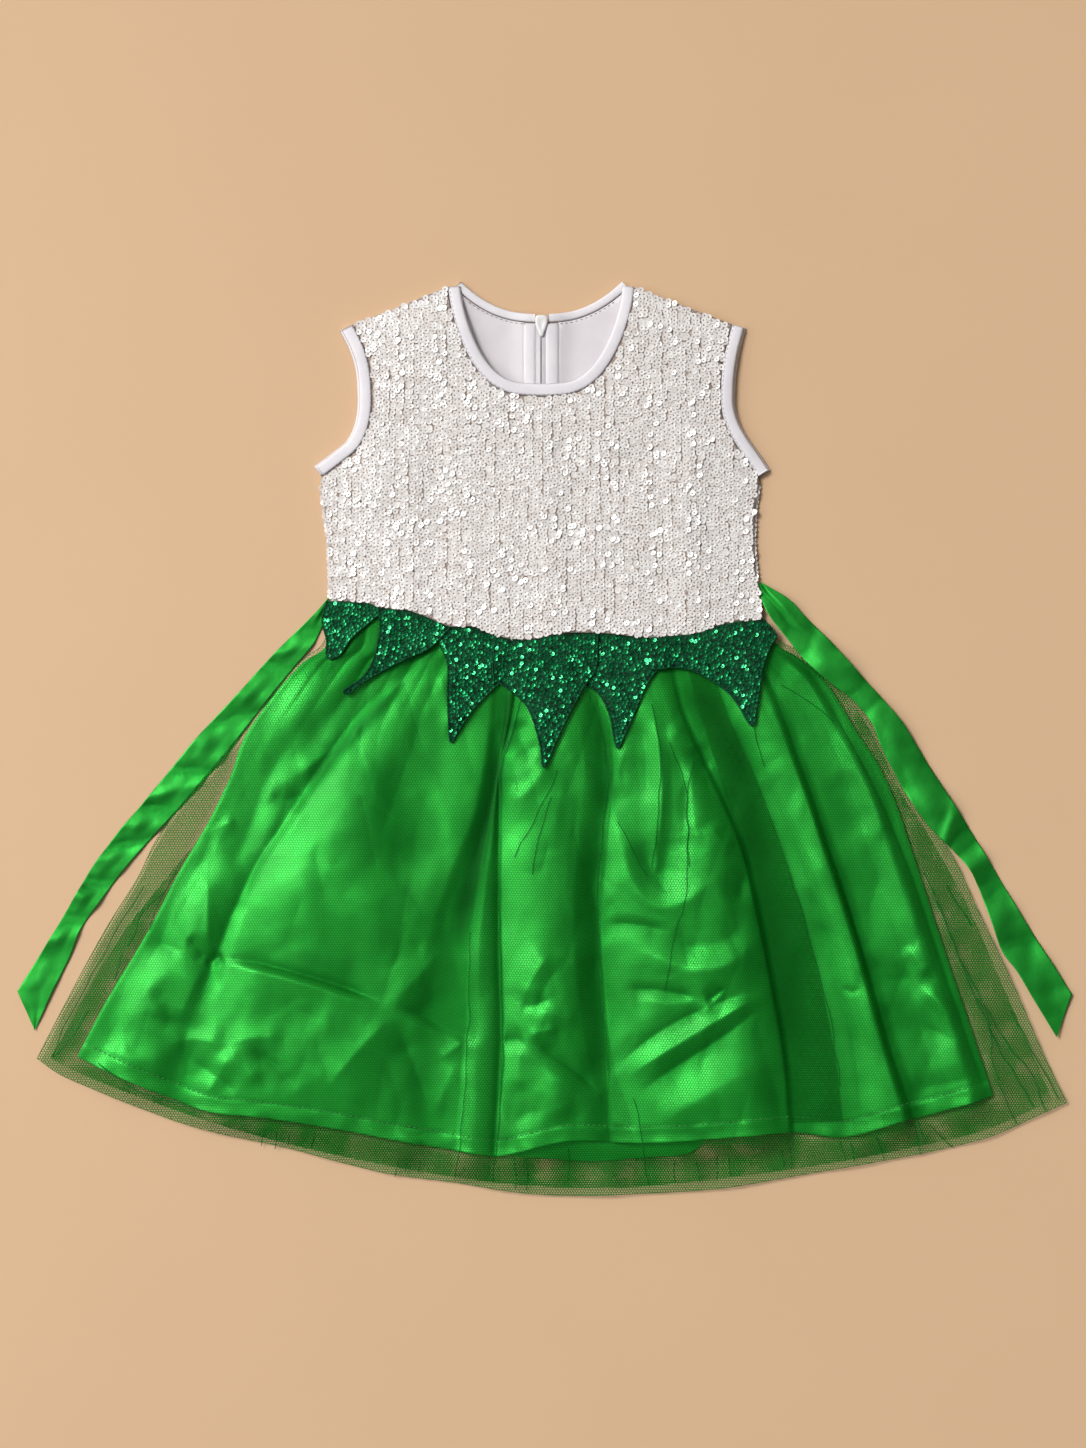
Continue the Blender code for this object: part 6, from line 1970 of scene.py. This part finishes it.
def right_sash_z(x, y, share):
    """Its inner edge lies on the net, and from there it slopes down to the floor."""
    over, near_x, near_y = to_outline(x, y, around(NET_EDGES)[::3])
    under = tulle_z(np.where(over > 0, x, near_x), np.where(over > 0, y, near_y))
    carried = evened_highest(np.max(under, axis=1), 12)[:, None]
    fall = smooth((-over - 0.5) / SASH_LEAN)
    lift = pucker_lift(x, y, RIGHT_SASH_ROWS, RIGHT_PUCKERS) + waves(x, y, 18.0, 0.2, 31)
    fold = np.exp(-((y - SASH_FOLD_Y) / SASH_FOLD_REACH) ** 2)
    lift += SASH_FOLD_DEPTH * fold * (2.0 * smooth((share - 0.3) / 0.35) - 1.0)
    return 0.9 + (carried + 0.3) * (1 - fall) + np.clip(1.4 + lift, 0.0, 4.2) * 0.8


# The room.
def add_floor():
    mesh = bpy.data.meshes.new("floor")
    half = FLOOR_HALF
    mesh.from_pydata([(-half, -half, 0), (half, -half, 0), (half, half, 0), (-half, half, 0)], [],
                     [(0, 1, 2, 3)])
    nodes = Nodes("pale_floor")
    tone = nodes.mix(nodes.noise(9.0, 4.0), rgb(0.70, 0.475, 0.29), rgb(0.68, 0.455, 0.275))
    grain = nodes.bump(nodes.noise(700.0, 3.0), 0.1, 0.0004)
    mesh.materials.append(nodes.finish(Base_Color=tone, Roughness=0.9, Normal=grain))
    floor = bpy.data.objects.new("floor", mesh)
    bpy.context.scene.collection.objects.link(floor)


def add_light(name, light, place):
    """Puts a light at a place, in metres, and turns it to the middle of the floor."""
    obj = bpy.data.objects.new(name, light)
    obj.location = place
    obj.rotation_euler = Vector(place).to_track_quat("Z", "Y").to_euler()
    bpy.context.scene.collection.objects.link(obj)


def add_lights():
    key = bpy.data.lights.new("key_light", "SUN")
    key.energy = KEY_STRENGTH
    key.angle = math.radians(KEY_ANGLE)
    key.color = (1.0, 0.985, 0.965)
    add_light("key_light", key, KEY_FROM)
    side = bpy.data.lights.new("side_light", "AREA")
    side.size = SIDE_SIZE
    side.energy = SIDE_STRENGTH
    add_light("side_light", side, SIDE_FROM)
    bpy.context.scene.view_settings.view_transform = "Standard"


def add_world():
    """A soft room, brighter on the key light's side."""
    world = bpy.data.worlds.new("soft_room")
    world.use_nodes = True
    tree = world.node_tree
    direction = tree.nodes.new("ShaderNodeTexCoord").outputs["Generated"]
    towards = tree.nodes.new("ShaderNodeVectorMath")
    towards.operation = "DOT_PRODUCT"
    towards.inputs[1].default_value = Vector(FILL_FROM).normalized()
    tree.links.new(direction, towards.inputs[0])
    level = tree.nodes.new("ShaderNodeMapRange")
    level.interpolation_type = "SMOOTHSTEP"
    for key, value in (("From Min", -0.1), ("From Max", 1.0), ("To Min", FILL_LOW),
                       ("To Max", FILL_HIGH)):
        level.inputs[key].default_value = value
    tree.links.new(towards.outputs["Value"], level.inputs["Value"])
    background = tree.nodes["Background"]
    background.inputs["Color"].default_value = rgb(1.0, 0.985, 0.975)
    tree.links.new(level.outputs["Result"], background.inputs["Strength"])
    bpy.context.scene.world = world


def add_camera():
    """A camera straight above, as high as the frame's height and the lens ask."""
    camera = bpy.data.cameras.new("camera")
    camera.sensor_width = SENSOR
    camera.sensor_fit = "AUTO"
    camera.lens = LENS
    obj = bpy.data.objects.new("camera", camera)
    distance = FRAME_HEIGHT * LENS / SENSOR
    obj.location = (CAMERA_X * MM, CAMERA_Y * MM, distance * MM)
    bpy.context.scene.collection.objects.link(obj)
    bpy.context.scene.camera = obj


def corners(bounds):
    return [[float(value) for value in corner] for corner in bounds]


def main():
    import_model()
    add_floor()
    add_world()
    add_lights()
    add_camera()

    cloths = make_materials()
    add_satin_back(cloths.satin)
    add_satin(cloths.satin)
    add_nets(cloths.net, cloths.net_back, cloths.net_dense, cloths.net_crease)
    add_hem_stitches(cloths.green_thread)
    add_leaves(cloths.green_knit, cloths.rolled_edge, cloths.green_sequins)
    add_bodice(cloths.white_knit, cloths.white_sequins)
    add_lining(cloths.lining, cloths.flap)
    add_bindings(cloths.binding, cloths.thread, cloths.brown_thread)
    add_zip(cloths.tape, cloths.nylon, cloths.enamel)
    add_sash("left", LEFT_SASH_ROWS, LEFT_SASH_TIP, left_sash_z, cloths.satin)
    add_sash("right", RIGHT_SASH_ROWS, RIGHT_SASH_TIP, right_sash_z, cloths.satin)


main()
